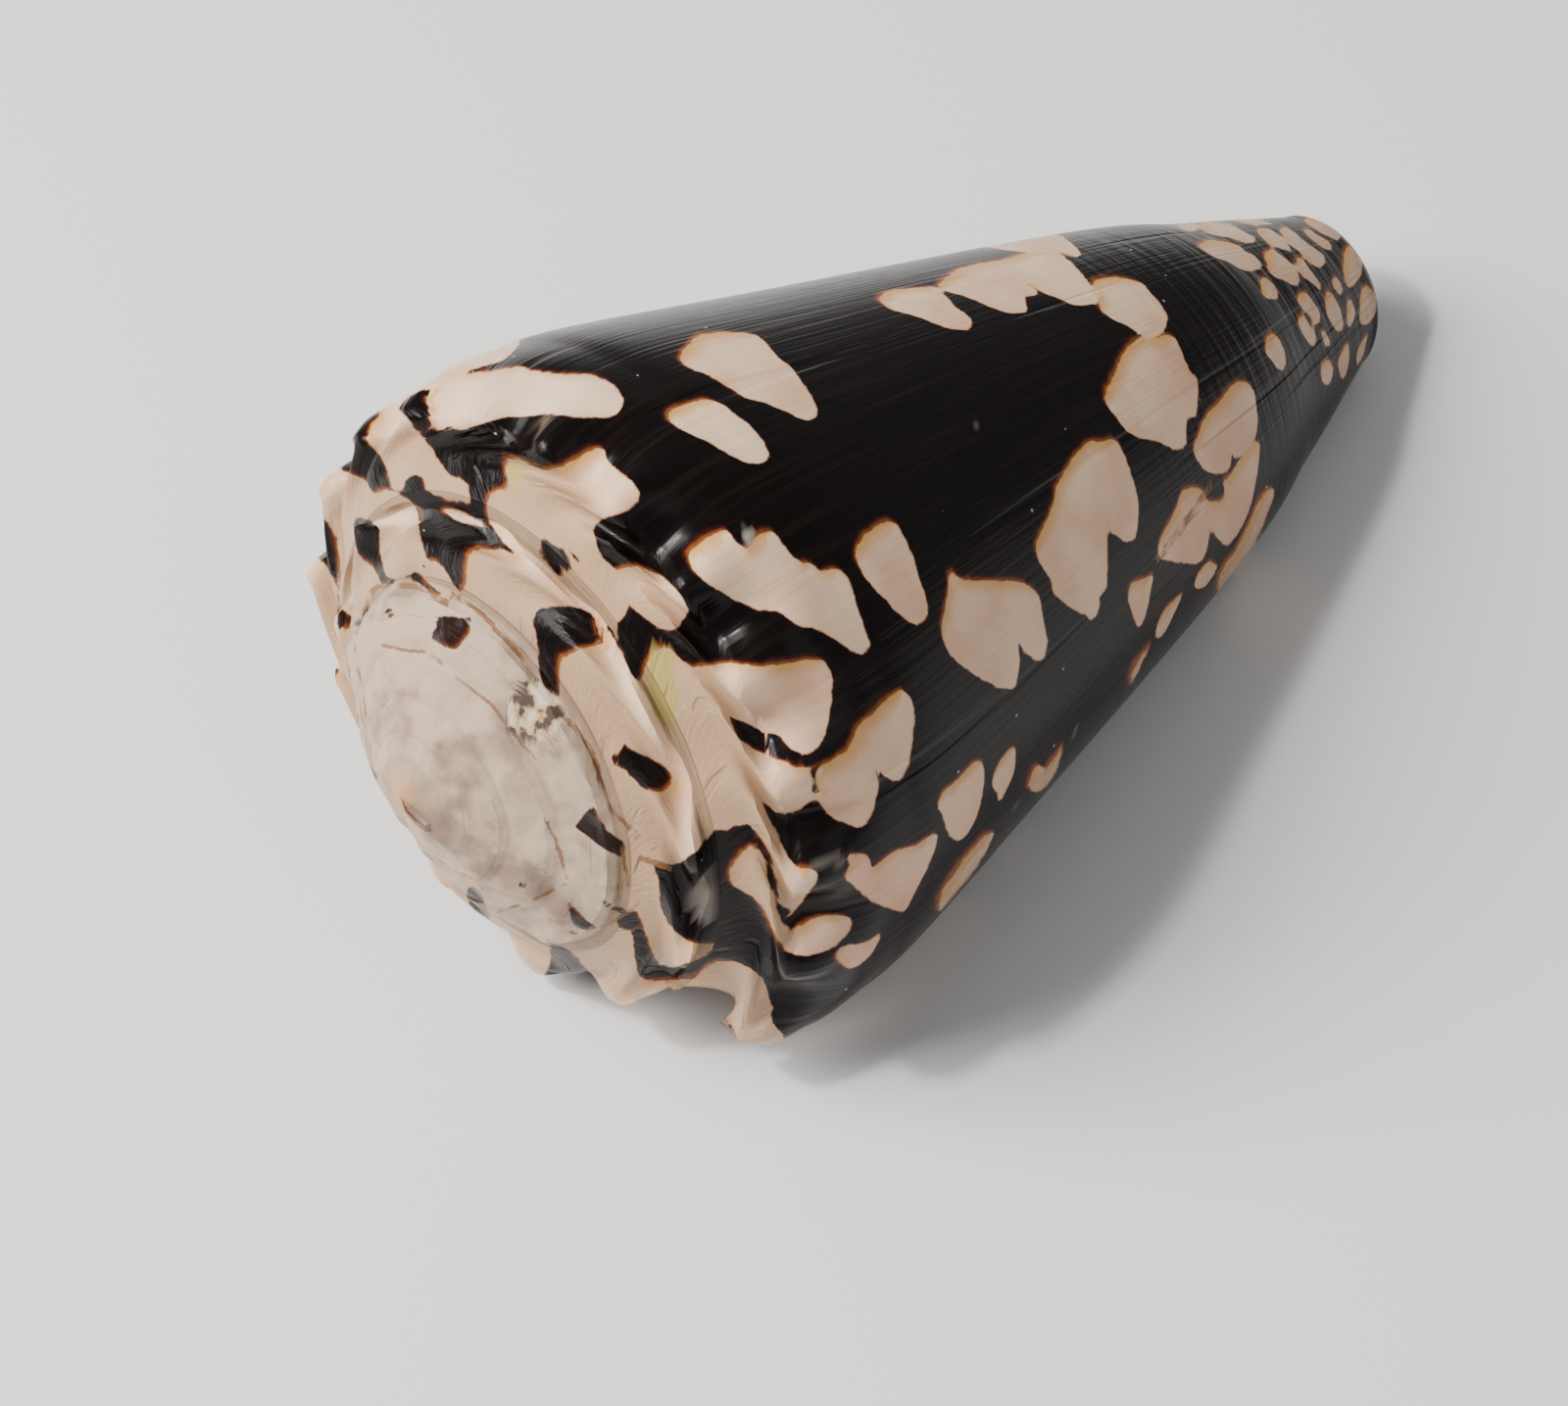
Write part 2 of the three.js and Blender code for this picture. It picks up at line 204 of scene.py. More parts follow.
LONG_BAR = [
    (529, 346), (525, 358), (509, 369), (483, 377), (475, 381), (504, 378), (522, 375), (533, 374),
    (543, 378), (569, 382), (595, 382), (613, 386), (629, 395), (635, 405), (634, 416), (626, 425),
    (608, 426), (587, 425), (561, 423), (530, 425), (512, 427), (494, 432), (473, 439), (465, 438),
    (455, 434), (452, 439), (442, 436), (438, 431), (438, 421), (440, 416), (435, 410), (438, 403),
    (442, 397), (429, 399), (416, 406), (408, 417), (410, 421), (418, 430), (429, 444), (442, 460),
    (452, 475), (457, 484), (473, 490), (479, 499), (481, 507), (475, 514), (468, 513), (465, 507),
    (452, 507), (439, 505), (434, 496), (430, 484), (421, 484), (414, 491), (408, 500), (400, 499),
    (396, 481), (388, 465), (376, 452), (374, 447), (379, 433), (386, 425), (394, 402), (430, 378),
    (470, 357), (500, 344),
]
PALE = [
    CROWN,
    LONG_BAR,
    # the strand under the knobs, and the lip's own blotch
    [(765, 864), (774, 867), (780, 874), (783, 880), (781, 891), (783, 899), (791, 914), (792, 927),
     (797, 940), (803, 948), (814, 948), (824, 940), (839, 935), (858, 934), (869, 937), (869, 947),
     (861, 958), (845, 970), (824, 975), (806, 973), (799, 965), (789, 951), (782, 936), (774, 920),
     (761, 911), (746, 902), (744, 892), (749, 880), (757, 871)],
    [(696, 998), (709, 999), (713, 994), (724, 984), (740, 980), (755, 983), (771, 992), (780, 1001),
     (785, 1017), (789, 1029), (786, 1038), (791, 1048), (800, 1060), (775, 1080), (760, 1076),
     (752, 1062), (749, 1049), (735, 1041), (728, 1022), (708, 1016), (693, 1012)],
    # a painted highlight: a pale streak laid where a glint lies on the glossy black
    [(452, 520), (461, 518), (481, 525), (502, 540), (481, 537), (461, 530)],
    # two leaves and a bar above the middle
    [(694, 367), (696, 359), (710, 344), (723, 340), (748, 339), (767, 341), (779, 347), (794, 365),
     (810, 377), (824, 399), (833, 414), (833, 424), (827, 429), (816, 427), (799, 419), (780, 411),
     (759, 405), (740, 393), (721, 382), (704, 376)],
    [(681, 426), (691, 415), (718, 408), (732, 410), (751, 423), (770, 439), (782, 456), (785, 467),
     (779, 473), (764, 472), (745, 464), (726, 453), (704, 443), (688, 434)],
    # the large leaf and the drop
    [(702, 567), (707, 559), (723, 547), (738, 541), (745, 545), (752, 554), (762, 560), (770, 551),
     (780, 543), (789, 543), (797, 552), (808, 567), (816, 574), (827, 575), (837, 582), (854, 582),
     (865, 591), (875, 619), (882, 640), (888, 657), (884, 665), (875, 667), (862, 659), (846, 648),
     (832, 642), (816, 639), (802, 629), (791, 624), (775, 623), (751, 613), (729, 600), (711, 586)],
    [(873, 570), (875, 556), (889, 540), (903, 533), (913, 534), (920, 543), (930, 564), (938, 591),
     (946, 613), (945, 629), (936, 638), (924, 633), (911, 621), (897, 605), (881, 587)],
    # the shield
    [(968, 588), (973, 585), (981, 591), (995, 592), (1020, 593), (1040, 594), (1051, 599),
     (1061, 609), (1064, 631), (1069, 653), (1066, 670), (1059, 675), (1052, 671), (1044, 663),
     (1038, 654), (1040, 666), (1040, 683), (1037, 698), (1031, 703), (1016, 700), (999, 692),
     (984, 681), (970, 669), (963, 654), (961, 638), (965, 619), (968, 600)],
    # the two-pronged tent and the big drop above it
    [(1096, 466), (1107, 453), (1124, 451), (1136, 449), (1144, 458), (1151, 475), (1158, 497),
     (1162, 514), (1161, 536), (1158, 549), (1151, 553), (1143, 549), (1133, 543), (1128, 530),
     (1130, 545), (1130, 572), (1130, 597), (1122, 609), (1122, 622), (1114, 633), (1107, 627),
     (1093, 620), (1076, 606), (1071, 589), (1061, 575), (1057, 558), (1064, 539), (1073, 519),
     (1079, 494), (1087, 480)],
    [(1127, 408), (1132, 392), (1140, 377), (1147, 359), (1163, 345), (1178, 345), (1192, 342),
     (1200, 347), (1207, 361), (1214, 379), (1222, 387), (1222, 405), (1221, 423), (1216, 427),
     (1212, 426), (1211, 438), (1210, 454), (1205, 459), (1199, 460), (1189, 454), (1176, 449),
     (1163, 447), (1147, 437), (1137, 424)],
    # the chain along the top
    [(897, 306), (903, 298), (919, 295), (939, 293), (955, 293), (965, 302), (975, 314), (985, 320),
     (991, 328), (991, 336), (983, 337), (967, 335), (949, 328), (931, 322), (913, 317), (902, 311)],
    [(957, 292), (967, 282), (978, 274), (998, 269), (1027, 264), (1045, 258), (1075, 258),
     (1091, 266), (1104, 280), (1115, 296), (1120, 302), (1119, 309), (1111, 311), (1096, 311),
     (1081, 305), (1065, 299), (1057, 295), (1047, 289), (1058, 297), (1057, 301), (1048, 303),
     (1041, 302), (1033, 297), (1045, 305), (1048, 314), (1046, 319), (1034, 320), (1021, 317),
     (1003, 310), (983, 302), (965, 297)],
    [(977, 244), (983, 251), (1003, 252), (1024, 255), (1045, 257), (1060, 258), (1081, 258),
     (1091, 261), (1099, 262), (1102, 256), (1093, 249), (1080, 240), (1045, 238)],
    [(1115, 289), (1122, 285), (1137, 283), (1153, 285), (1165, 289), (1173, 298), (1183, 309),
     (1190, 319), (1191, 328), (1187, 338), (1181, 343), (1171, 344), (1159, 338), (1147, 331),
     (1135, 326), (1123, 316), (1120, 302)],
    # the group towards the lower right
    [(1218, 458), (1224, 439), (1232, 422), (1246, 408), (1257, 393), (1268, 388), (1277, 394),
     (1282, 411), (1283, 433), (1280, 450), (1271, 461), (1263, 468), (1257, 464), (1256, 475),
     (1247, 484), (1235, 482), (1225, 475)],
    [(1247, 492), (1255, 486), (1263, 472), (1277, 454), (1285, 452), (1285, 469), (1281, 492),
     (1277, 514), (1268, 536), (1257, 553), (1250, 557), (1241, 547), (1235, 540), (1232, 558),
     (1225, 574), (1213, 575), (1190, 572), (1182, 567), (1183, 553), (1193, 533), (1200, 519),
     (1207, 501), (1218, 498), (1229, 503), (1232, 511), (1246, 511), (1250, 500)],
    [(1242, 602), (1247, 581), (1260, 564), (1274, 536), (1285, 511), (1296, 498), (1300, 503),
     (1291, 531), (1277, 561), (1260, 586), (1247, 603)],
    [(1218, 597), (1224, 582), (1235, 572), (1243, 577), (1235, 593), (1225, 602)],
    [(1151, 602), (1157, 593), (1171, 588), (1177, 585), (1176, 597), (1172, 617), (1167, 634),
     (1161, 641), (1156, 631), (1151, 617)],
    [(1179, 650), (1181, 636), (1190, 620), (1207, 604), (1204, 614), (1196, 631), (1186, 650)],
    [(1152, 699), (1153, 686), (1163, 670), (1175, 656), (1171, 667), (1163, 684), (1156, 699)],
    [(1290, 356), (1292, 344), (1299, 339), (1306, 347), (1312, 361), (1313, 372), (1309, 380),
     (1302, 375), (1293, 363)],
    # tents along the lower edge
    [(862, 895), (876, 908), (889, 920), (901, 925), (918, 930), (925, 927), (935, 908), (948, 883),
     (954, 867), (957, 852), (951, 852), (935, 863), (917, 867), (901, 877), (890, 886), (887, 874),
     (876, 871), (864, 874), (868, 885)],
    [(957, 822), (962, 809), (973, 799), (988, 784), (994, 778), (1003, 779), (1004, 799),
     (1000, 822), (992, 844), (981, 857), (973, 855), (966, 848), (962, 833)],
    [(1014, 790), (1020, 777), (1031, 763), (1036, 762), (1037, 777), (1033, 794), (1026, 809),
     (1020, 819), (1016, 811), (1012, 801)],
    [(1048, 803), (1051, 790), (1059, 779), (1067, 784), (1076, 771), (1084, 760), (1086, 764),
     (1082, 779), (1074, 796), (1063, 808), (1054, 809)],
    [(960, 914), (971, 895), (981, 880), (994, 865), (1005, 853), (1014, 849), (1009, 863),
     (999, 880), (984, 901), (969, 919), (958, 930)],
    [(852, 975), (864, 965), (883, 961), (899, 952), (897, 961), (886, 978), (870, 989), (859, 986)],
    # small packed blotches at the front end
    [(1225, 227), (1239, 227), (1256, 229), (1273, 238), (1283, 243), (1280, 248), (1269, 248),
     (1256, 243), (1239, 240), (1227, 236)],
    [(1221, 250), (1230, 245), (1242, 245), (1256, 247), (1266, 251), (1273, 257), (1281, 261),
     (1287, 268), (1288, 274), (1281, 277), (1273, 277), (1264, 274), (1252, 267), (1242, 264),
     (1230, 258)],
    [(1281, 234), (1290, 232), (1297, 234), (1305, 240), (1314, 248), (1319, 255), (1316, 258),
     (1307, 254), (1297, 251), (1287, 242)],
    [(1305, 233), (1312, 231), (1321, 237), (1333, 247), (1343, 254), (1352, 261), (1354, 268),
     (1350, 273), (1345, 275), (1336, 268), (1328, 259), (1317, 251), (1309, 241)],
    [(1290, 258), (1297, 253), (1305, 258), (1314, 265), (1323, 273), (1327, 283), (1326, 292),
     (1319, 292), (1312, 287), (1304, 285), (1295, 278), (1292, 270)],
    [(1321, 263), (1328, 261), (1335, 271), (1343, 282), (1349, 292), (1347, 297), (1340, 290),
     (1329, 283), (1323, 271)],
    [(1285, 284), (1290, 282), (1297, 287), (1304, 297), (1305, 304), (1299, 307), (1290, 303),
     (1286, 294)],
    [(1323, 301), (1329, 297), (1335, 299), (1340, 307), (1347, 318), (1348, 326), (1345, 333),
     (1339, 331), (1337, 323), (1329, 316), (1324, 309)],
    [(1323, 326), (1329, 321), (1336, 331), (1343, 342), (1344, 350), (1339, 355), (1331, 345)],
    [(1352, 299), (1357, 297), (1364, 307), (1369, 318), (1371, 328), (1370, 338), (1364, 338),
     (1357, 328), (1352, 314)],
    [(1347, 337), (1352, 337), (1358, 349), (1357, 355), (1352, 354)],
    [(1359, 283), (1364, 282), (1369, 292), (1371, 301), (1366, 301), (1360, 292)],
    [(1374, 306), (1377, 304), (1383, 314), (1382, 328), (1377, 336), (1374, 328)],
    [(1371, 258), (1376, 249), (1384, 258), (1391, 268), (1390, 280), (1384, 290), (1379, 295),
     (1373, 290), (1370, 277)],
    [(1388, 301), (1393, 290), (1402, 297), (1405, 311), (1400, 328), (1391, 333), (1387, 325)],
    [(1329, 224), (1340, 221), (1352, 225), (1362, 234), (1369, 241), (1365, 246), (1355, 241),
     (1343, 235)],
    [(1328, 234), (1335, 233), (1347, 241), (1357, 247), (1360, 255), (1353, 255), (1341, 247)],
    [(1348, 373), (1355, 366), (1360, 373), (1360, 383), (1355, 394), (1349, 390)],
    [(1365, 371), (1371, 354), (1376, 350), (1377, 362), (1375, 379), (1369, 388)],
    [(1384, 362), (1389, 349), (1396, 340), (1392, 360), (1385, 374)],
    [(1198, 231), (1213, 226), (1225, 229), (1223, 236), (1211, 237)],
    [(1259, 226), (1276, 222), (1290, 224), (1299, 229), (1290, 231), (1273, 230)],
]
DARK = [
    # between the lobes on the left
    [(363, 529), (375, 530), (387, 540), (388, 563), (394, 587), (402, 592), (416, 590), (408, 597),
     (398, 596), (385, 600), (378, 609), (376, 624), (369, 636), (364, 640), (368, 632), (374, 612),
     (379, 602), (386, 596), (387, 591), (380, 578), (370, 571), (363, 559), (361, 542)],
    [(312, 515), (327, 527), (341, 541), (344, 559), (347, 580), (346, 597), (348, 618), (353, 625),
     (365, 636), (358, 641), (346, 644), (345, 621), (344, 607), (339, 587), (329, 573), (313, 563),
     (300, 560)],
    [(330, 704), (347, 686), (340, 681), (326, 690)],
    [(362, 779), (380, 782), (386, 797), (377, 799)],
    # the square, the dot and the patches beside the sutures
    [(443, 628), (457, 628), (471, 629), (483, 631), (476, 652), (467, 662), (454, 662), (438, 650),
     (445, 638)],
    [(393, 619), (400, 620), (403, 628), (397, 632), (392, 626)],
    [(544, 627), (551, 623), (557, 620), (574, 618), (591, 620), (602, 626), (609, 634), (608, 644),
     (616, 654), (609, 658), (596, 661), (583, 667), (574, 672), (570, 685), (571, 700), (570, 711),
     (561, 706), (553, 696), (550, 683), (549, 661), (546, 646)],
    [(543, 539), (551, 550), (549, 565), (557, 576), (570, 590), (581, 584), (589, 576), (597, 571),
     (587, 565), (574, 559), (561, 552)],
    [(633, 759), (639, 757), (642, 762), (650, 766), (664, 773), (677, 780), (686, 791), (686, 802),
     (677, 809), (661, 809), (653, 803), (645, 795), (634, 785), (625, 782), (620, 778), (622, 771),
     (631, 769)],
    [(605, 822), (599, 825), (595, 831), (587, 842), (588, 847), (598, 854), (609, 862), (620, 869),
     (631, 875), (638, 873), (640, 862), (631, 855), (620, 846), (613, 835), (609, 825)],
    [(556, 957), (567, 963), (581, 967), (595, 983), (606, 998), (610, 1015), (581, 1020),
     (545, 1015), (558, 989), (561, 972)],
    [(576, 917), (584, 923), (592, 931), (599, 939), (609, 945), (606, 949), (595, 949), (585, 945),
     (580, 934)],
    [(613, 917), (620, 920), (631, 928), (622, 930), (616, 924)],
    [(529, 899), (539, 900), (537, 907), (530, 906)],
    [(478, 904), (488, 906), (495, 919), (502, 940), (491, 938), (476, 920)],
    [(826, 789), (835, 790), (834, 798), (837, 808), (827, 809), (828, 798)],
    # the lip's dark tip
    [(718, 1052), (733, 1042), (745, 1049), (752, 1066), (748, 1082), (720, 1082)],
]

# Thin brown lines: half a width in pixels, and the line
THREADS = [
    (1.2, [(401, 661), (416, 664), (433, 666), (447, 674), (464, 690), (481, 703), (502, 720),
           (515, 738), (529, 755), (538, 765)]),
    (1.6, [(478, 616), (493, 628), (509, 645), (526, 662), (541, 682)]),
    (2.4, [(378, 611), (386, 600), (399, 597), (419, 598), (434, 600), (444, 607)]),
    (1.3, [(366, 640), (362, 652), (363, 673), (368, 693), (372, 722)]),
    (1.3, [(375, 750), (381, 772)]),
    (1.8, [(591, 748), (602, 762), (608, 776), (613, 800), (620, 818), (631, 834), (642, 844)]),
    (1.2, [(529, 924), (545, 918), (560, 911)]),
    (1.4, [(606, 948), (620, 945), (630, 938), (636, 934)]),
    (1.6, [(636, 872), (638, 884)]),
    (1.4, [(567, 858), (571, 868), (573, 876)]),
    (2.0, [(660, 878), (666, 880)]),
    (2.2, [(1224, 513), (1206, 538), (1188, 562)]),
]

# Faint marks: how strong, and the outline
GHOSTS = [
    (0.45, [(700, 920), (708, 903), (719, 890), (727, 884), (730, 892), (732, 909), (731, 934),
            (728, 950), (721, 947), (710, 936), (702, 928)]),
    (0.9, [(757, 541), (764, 538), (771, 545), (769, 556), (761, 558)]),
    (0.3, [(822, 884), (830, 875), (845, 871), (862, 872), (862, 884), (846, 886), (833, 888)]),
    (0.25, [(992, 432), (997, 430), (1001, 437), (997, 440)]),
    (0.25, [(1093, 750), (1098, 741), (1102, 738), (1098, 750), (1095, 755)]),
    (0.25, [(1032, 826), (1037, 818), (1042, 815), (1037, 827)]),
]
CHIP = [
    (517, 715), (533, 700), (536, 693), (550, 700), (567, 714), (580, 727), (570, 741), (553, 755),
    (536, 757), (519, 745), (516, 730),
]
STAINS = [
    [(664, 668), (672, 664), (683, 670), (688, 690), (692, 712), (690, 730), (682, 742), (672, 736),
     (664, 716), (660, 692)],
    [(516, 471), (526, 469), (534, 476), (532, 492), (524, 500), (519, 488)],
]
NUCLEUS = (409, 812)
NUCLEUS_RADIUS = 13

# The side away from the camera: outlines in millimetres round a middle, x back along the growth
# and y towards the front end
TENTS = [
    [(-2.6, -0.4), (-1.2, -1.3), (1, -1.1), (2.6, 0), (1.7, 0.8), (0.2, 1), (-1.3, 0.5)],
    [(-1.3, -1.7), (0.6, -2.2), (1.7, -0.8), (1.9, 1.2), (0.8, 2.3), (0.5, 1.1), (-0.4, 2.6),
     (-1.6, 1.2), (-1.9, -0.4)],
    [(-1, -1.6), (0.3, -2), (1.1, -0.9), (1.2, 1), (0.3, 2.1), (-0.7, 1.2), (-1.2, -0.2)],
    [(-2, -1.9), (1.8, -1.7), (2.1, 0.3), (1.3, 1.6), (1.1, 0.5), (0.3, 2.2), (-1.2, 1.7),
     (-2.2, 0.2)],
    [(-1.6, -0.6), (0, -1.1), (1.5, -0.4), (1.2, 0.5), (-0.3, 0.8), (-1.5, 0.4)],
]

# How the tents are spread: how many are tried and of what sizes, the gap between two as a share of
# their size and in millimetres, the smaller ones at the front end, and how far one can reach
TENT_SEED = 7
TENTS_TRIED = 420
TENT_SCALES = (0.75, 1.25)
TENT_GAP = 0.12
OVERLAP = 0.15
FRONT_TENT_SHARE = 0.3
FRONT_FROM = 0.84
TENT_REACH = 5
TENTS_TO = 1.2

# The hidden crown: pale bars with dark gaps, and dark spots on the spire
BARS_PER_TURN = 17
BARS_SLANT = 2
BARS_MEAN = 0.15
BARS_HIGH = 0.6
BARS_REACH = 0.084
BARS_FADE = 2
SPIRE_SPOTS = 0.5
SPOTS_FROM = -0.9
CROWN_OVERLAP = 1

# Where the camera sees the shell: how squarely a point faces it, from -1 to 1, evened out over its
# neighbours, and the millimetres of marking that are lost as the facing falls by 1
SEEN_TO = -0.15
HIDDEN_FROM = -0.2
EDGE_GATE = 10
LEAST_FACING = 0.3
SMOOTHING_ROUNDS = 24

# How the outlines are laid on the shell: the pieces of a curve between two of its points, and the
# size in pixels under which a mark is drawn tighter. The rest is in millimetres.
CURVE_STEPS = 3
PIXELS_PER_MM = 26.1
SMALL_MARK = 75
TIGHTER = 0.05
MARK_LIMIT = 1.5
SOFT_EDGE = 0.1
THREAD_FAR = 50

# A rim is golden where the way into the marking leads right and down across the picture, like this
SUN_WAY = (0.78, 0.62)

# A thin line seen at a slant is drawn narrower: how fast, and the least share of its width
SLANT_GAIN = 2.5
SLANT_LEAST = 0.3

# Wear: the turns behind the lip over which it begins
WEAR_STARTS = (0, 0.04)

# Dents on the spire as pairs of width and depth in millimetres, the share of it that they have on
# average, and the turns in which they begin. They stop just under the shoulder.
DENTS = [(3.1, 0.3), (1.3, 0.17), (0.6, 0.06)]
DENTS_MEAN = 0.5
DENTED_TURNS = (1.1, 1.75)
DENTED_REACH = 0.02

# The groove along the sutures: depth in millimetres, width as a share of the ramp, and turns
GROOVE_DEPTH = 0.16
GROOVE_WIDTH = 0.16
GROOVE_TURNS = (0.3, 3.6)

# The hollows between knobs: depth in millimetres, how far they spread on the ramp and on the side,
# and the turns over which they fade inwards
VALLEY_DEPTH = 0.32
VALLEY_ON_RAMP = 0.5
VALLEY_ON_SIDE = 0.045
VALLEYS_FADE = (1.7, 2.4)

# Colours of the enamel
BLACK = (0.004, 0.0025, 0.0025)
BLACK_WARM = (0.011, 0.006, 0.005)
BROWN = (0.035, 0.014, 0.009)
CREAM = (0.82, 0.58, 0.4)
PEACH = (0.74, 0.44, 0.28)
TAN = (0.36, 0.2, 0.13)
CROWN_CREAM = (0.43, 0.27, 0.155)
CHALK = (0.5, 0.37, 0.27)
CHALK_SHADE = (0.3, 0.2, 0.15)
FRINGE_GOLD = (0.62, 0.32, 0.09)
FRINGE_BROWN = (0.2, 0.06, 0.015)
FRINGE_RED = (0.035, 0.006, 0.004)
THREAD_BROWN = (0.2, 0.09, 0.035)
GHOST_GREY = (0.34, 0.29, 0.25)
STAIN_GREEN = (0.42, 0.32, 0.09)
NUCLEUS_TAN = (0.6, 0.33, 0.15)
DUST = (0.6, 0.56, 0.5)
GLAZE = (0.86, 0.86, 0.84)
GLAZE_BLUE = (0.68, 0.74, 0.82)
CHIP_SHADES = [(0.4, (0.6, 0.5, 0.4)), (0.5, (0.5, 0.34, 0.17)), (0.56, (0.08, 0.055, 0.045))]
# Painted shade: the colour laid in patches along the spire's sutures, where shade falls
SUTURE_SHADE = (0.3, 0.19, 0.14)

# Noise: cells for each metre, and detail. Lines: cells for each turn and from the shoulder to the
# front end, and detail.
NOISE = {
    "broad": (300, 3),
    "lumps": (420, 2),
    "middle": (900, 4),
    "chip": (1300, 5),
    "fine": (2600, 3),
}
LINES = {
    "cords": (6, 100, 2),
    "growth": (300, 5, 3),
    "rests": (55, 1.5, 2),
}
NOISE_MIDDLE = 0.5

# Specks of dust: cells for each metre, radius in cells, the share of cells, and a speck's sharp part
DUST_CELLS = 1500
DUST_RADIUS = 0.13
DUST_SHARE = 0.05
DOT_CORE = 0.6

# Where each look begins, and where it is whole: in turns, in reach, in millimetres from an edge or
# in the value of its noise
SHOWS = {
    "cords": (0.45, 0.85),
    "rests": (0.6, 0.68),
    "worn": (1.3, 1.95),
    "pale": (-0.04, 0.05),
    "warm black": (0.45, 0.75),
    "red rim": (0.15, 0.6),
    "black past rim": (0.5, 1),
    "past the lip": (0, 0.3),
    "peach": (0.4, 0.7),
    "tan": (0.45, 1),
    "crown": (-0.02, 0.3),
    "chalk shade": (0.46, 0.72),
    # The painted shade along the spire's sutures: where it fades towards the shoulder, its turns and
    # its patches
    "out of suture shade": (-1, -0.7),
    "suture shade turns": (0.3, 0.9),
    "suture shade patches": (0.25, 0.6),
    "off a thread": (0.7, 1.5),
    "past a thread": (0.02, 0.12),
    "unbroken thread": (0.36, 0.56),
    "stain": (0.1, 0.5),
    "blue glaze": (0.35, 0.7),
}

# How strongly each look shows. The two rims have a least and a most.
STRENGTH = {
    "brown": 0.35,
    "tan": 0.45,
    "tan at the lip": 0.6,
    "crown": 0.9,
    "crown at the lip": 0.2,
    # hollow: how strongly the painted shade along the spire's sutures shows
    "hollow": 0.6,
    "thread": 0.85,
    "stain": 0.9,
    "nucleus": 0.7,
    "dust": 0.55,
}
BROWN_RIM = (0.2, 1)
GOLD_RIM = (0.22, 0.97)

# How widths and places waver with the noise, in turns, millimetres, reach and the noise's value
WORN_WAVER = 0.8
EDGE_WAVER = 0.17
EDGE_GRAIN = 0.18
TAN_WAVER = 0.3
CHALK_WAVER = 0.5

# The rims of a marking, in millimetres
FRINGE_LEAST = 0.08
FRINGE_MOST = 0.36
GOLD_LEAST = 0.1
GOLD_MOST = 0.75

# Gloss
BODY_ROUGH = 0.23
SPIRE_ROUGH = 0.45
ROUGH_WAVER = 0.12
ROUGHER = {"pale": 0.05, "chip": 0.2, "dust": 0.4}
COAT = 0.02
COAT_ROUGH = 0.12
GLOSS_IOR = 1.22

# Heights of the finest relief, in millimetres
RELIEF = {
    "cords": 0.06,
    "growth": 0.045,
    "fine": 0.004,
    "rests": 0.05,
    "lumps": 0.25,
    "pits": 0.14,
    "chip": 0.12,
    "thread": 0.03,
}


# A value inside a node tree

class Amount:
    """A node's output that takes part in plain arithmetic, which adds Math nodes to its tree."""

    def __init__(self, tree, socket):
        self.tree = tree
        self.socket = socket

    def math(self, operation, *others):
        node = self.tree.nodes.new("ShaderNodeMath")
        node.operation = operation
        for place, value in enumerate((self, *others)):
            join(self.tree, value, node.inputs[place])
        return Amount(self.tree, node.outputs[0])

    def __add__(self, other):
        return self.math("ADD", other)

    def __radd__(self, other):
        return self.math("ADD", other)

    def __sub__(self, other):
        return self.math("SUBTRACT", other)

    def __rsub__(self, other):
        return number(self.tree, other).math("SUBTRACT", self)

    def __mul__(self, other):
        return self.math("MULTIPLY", other)

    def __rmul__(self, other):
        return self.math("MULTIPLY", other)

    def __truediv__(self, other):
        return self.math("DIVIDE", other)

    def __pow__(self, other):
        return self.math("POWER", other)

    def __neg__(self):
        return self.math("MULTIPLY", -1)


def number(tree, value):
    if isinstance(value, Amount):
        return value
    node = tree.nodes.new("ShaderNodeValue")
    node.outputs[0].default_value = value
    return Amount(tree, node.outputs[0])


def join(tree, value, socket):
    """Sets a socket, or links an amount or another socket to it."""
    if isinstance(value, Amount):
        tree.links.new(value.socket, socket)
    elif isinstance(value, bpy.types.NodeSocket):
        tree.links.new(value, socket)
    else:
        socket.default_value = value


def step(tree, kind, **values):
    """Adds a node. Its sockets are given by name, with _ for a space."""
    node = tree.nodes.new(kind)
    for name, value in values.items():
        join(tree, value, node.inputs[name.replace("_", " ")])
    return node


def between(low, high, share):
    return low + (high - low) * share


def smooth_rise(value, low, high):
    """0 up to low, 1 from high on, and a smooth curve between."""
    node = value.tree.nodes.new("ShaderNodeMapRange")
    node.interpolation_type = "SMOOTHSTEP"
    join(value.tree, value, node.inputs["Value"])
    join(value.tree, low, node.inputs["From Min"])
    join(value.tree, high, node.inputs["From Max"])
    return Amount(value.tree, node.outputs["Result"])


def along_curve(value, pairs):
    """A smooth curve through a list of pairs."""
    node = value.tree.nodes.new("ShaderNodeFloatCurve")
    mapping = node.mapping
    mapping.use_clip = False
    curve = mapping.curves[0]
    while len(curve.points) < len(pairs):
        curve.points.new(0.5, 0.5)
    for point, (place, height) in zip(curve.points, pairs):
        point.location = (place, height)
        point.handle_type = "AUTO_CLAMPED"
    mapping.update()
    join(value.tree, value, node.inputs["Value"])
    return Amount(value.tree, node.outputs[0])


# Formulas as node groups

class Sizes:
    """The values that a tree asks for. Each becomes a named input of the tree on its first use."""

    def __init__(self, tree):
        self.tree = tree
        self.start = tree.nodes.new("NodeGroupInput")
        self.known = {}

    def __getitem__(self, name):
        if name not in self.known:
            self.tree.interface.new_socket(name, in_out="INPUT", socket_type="NodeSocketFloat")
            self.known[name] = Amount(self.tree, self.start.outputs[name])
        return self.known[name]


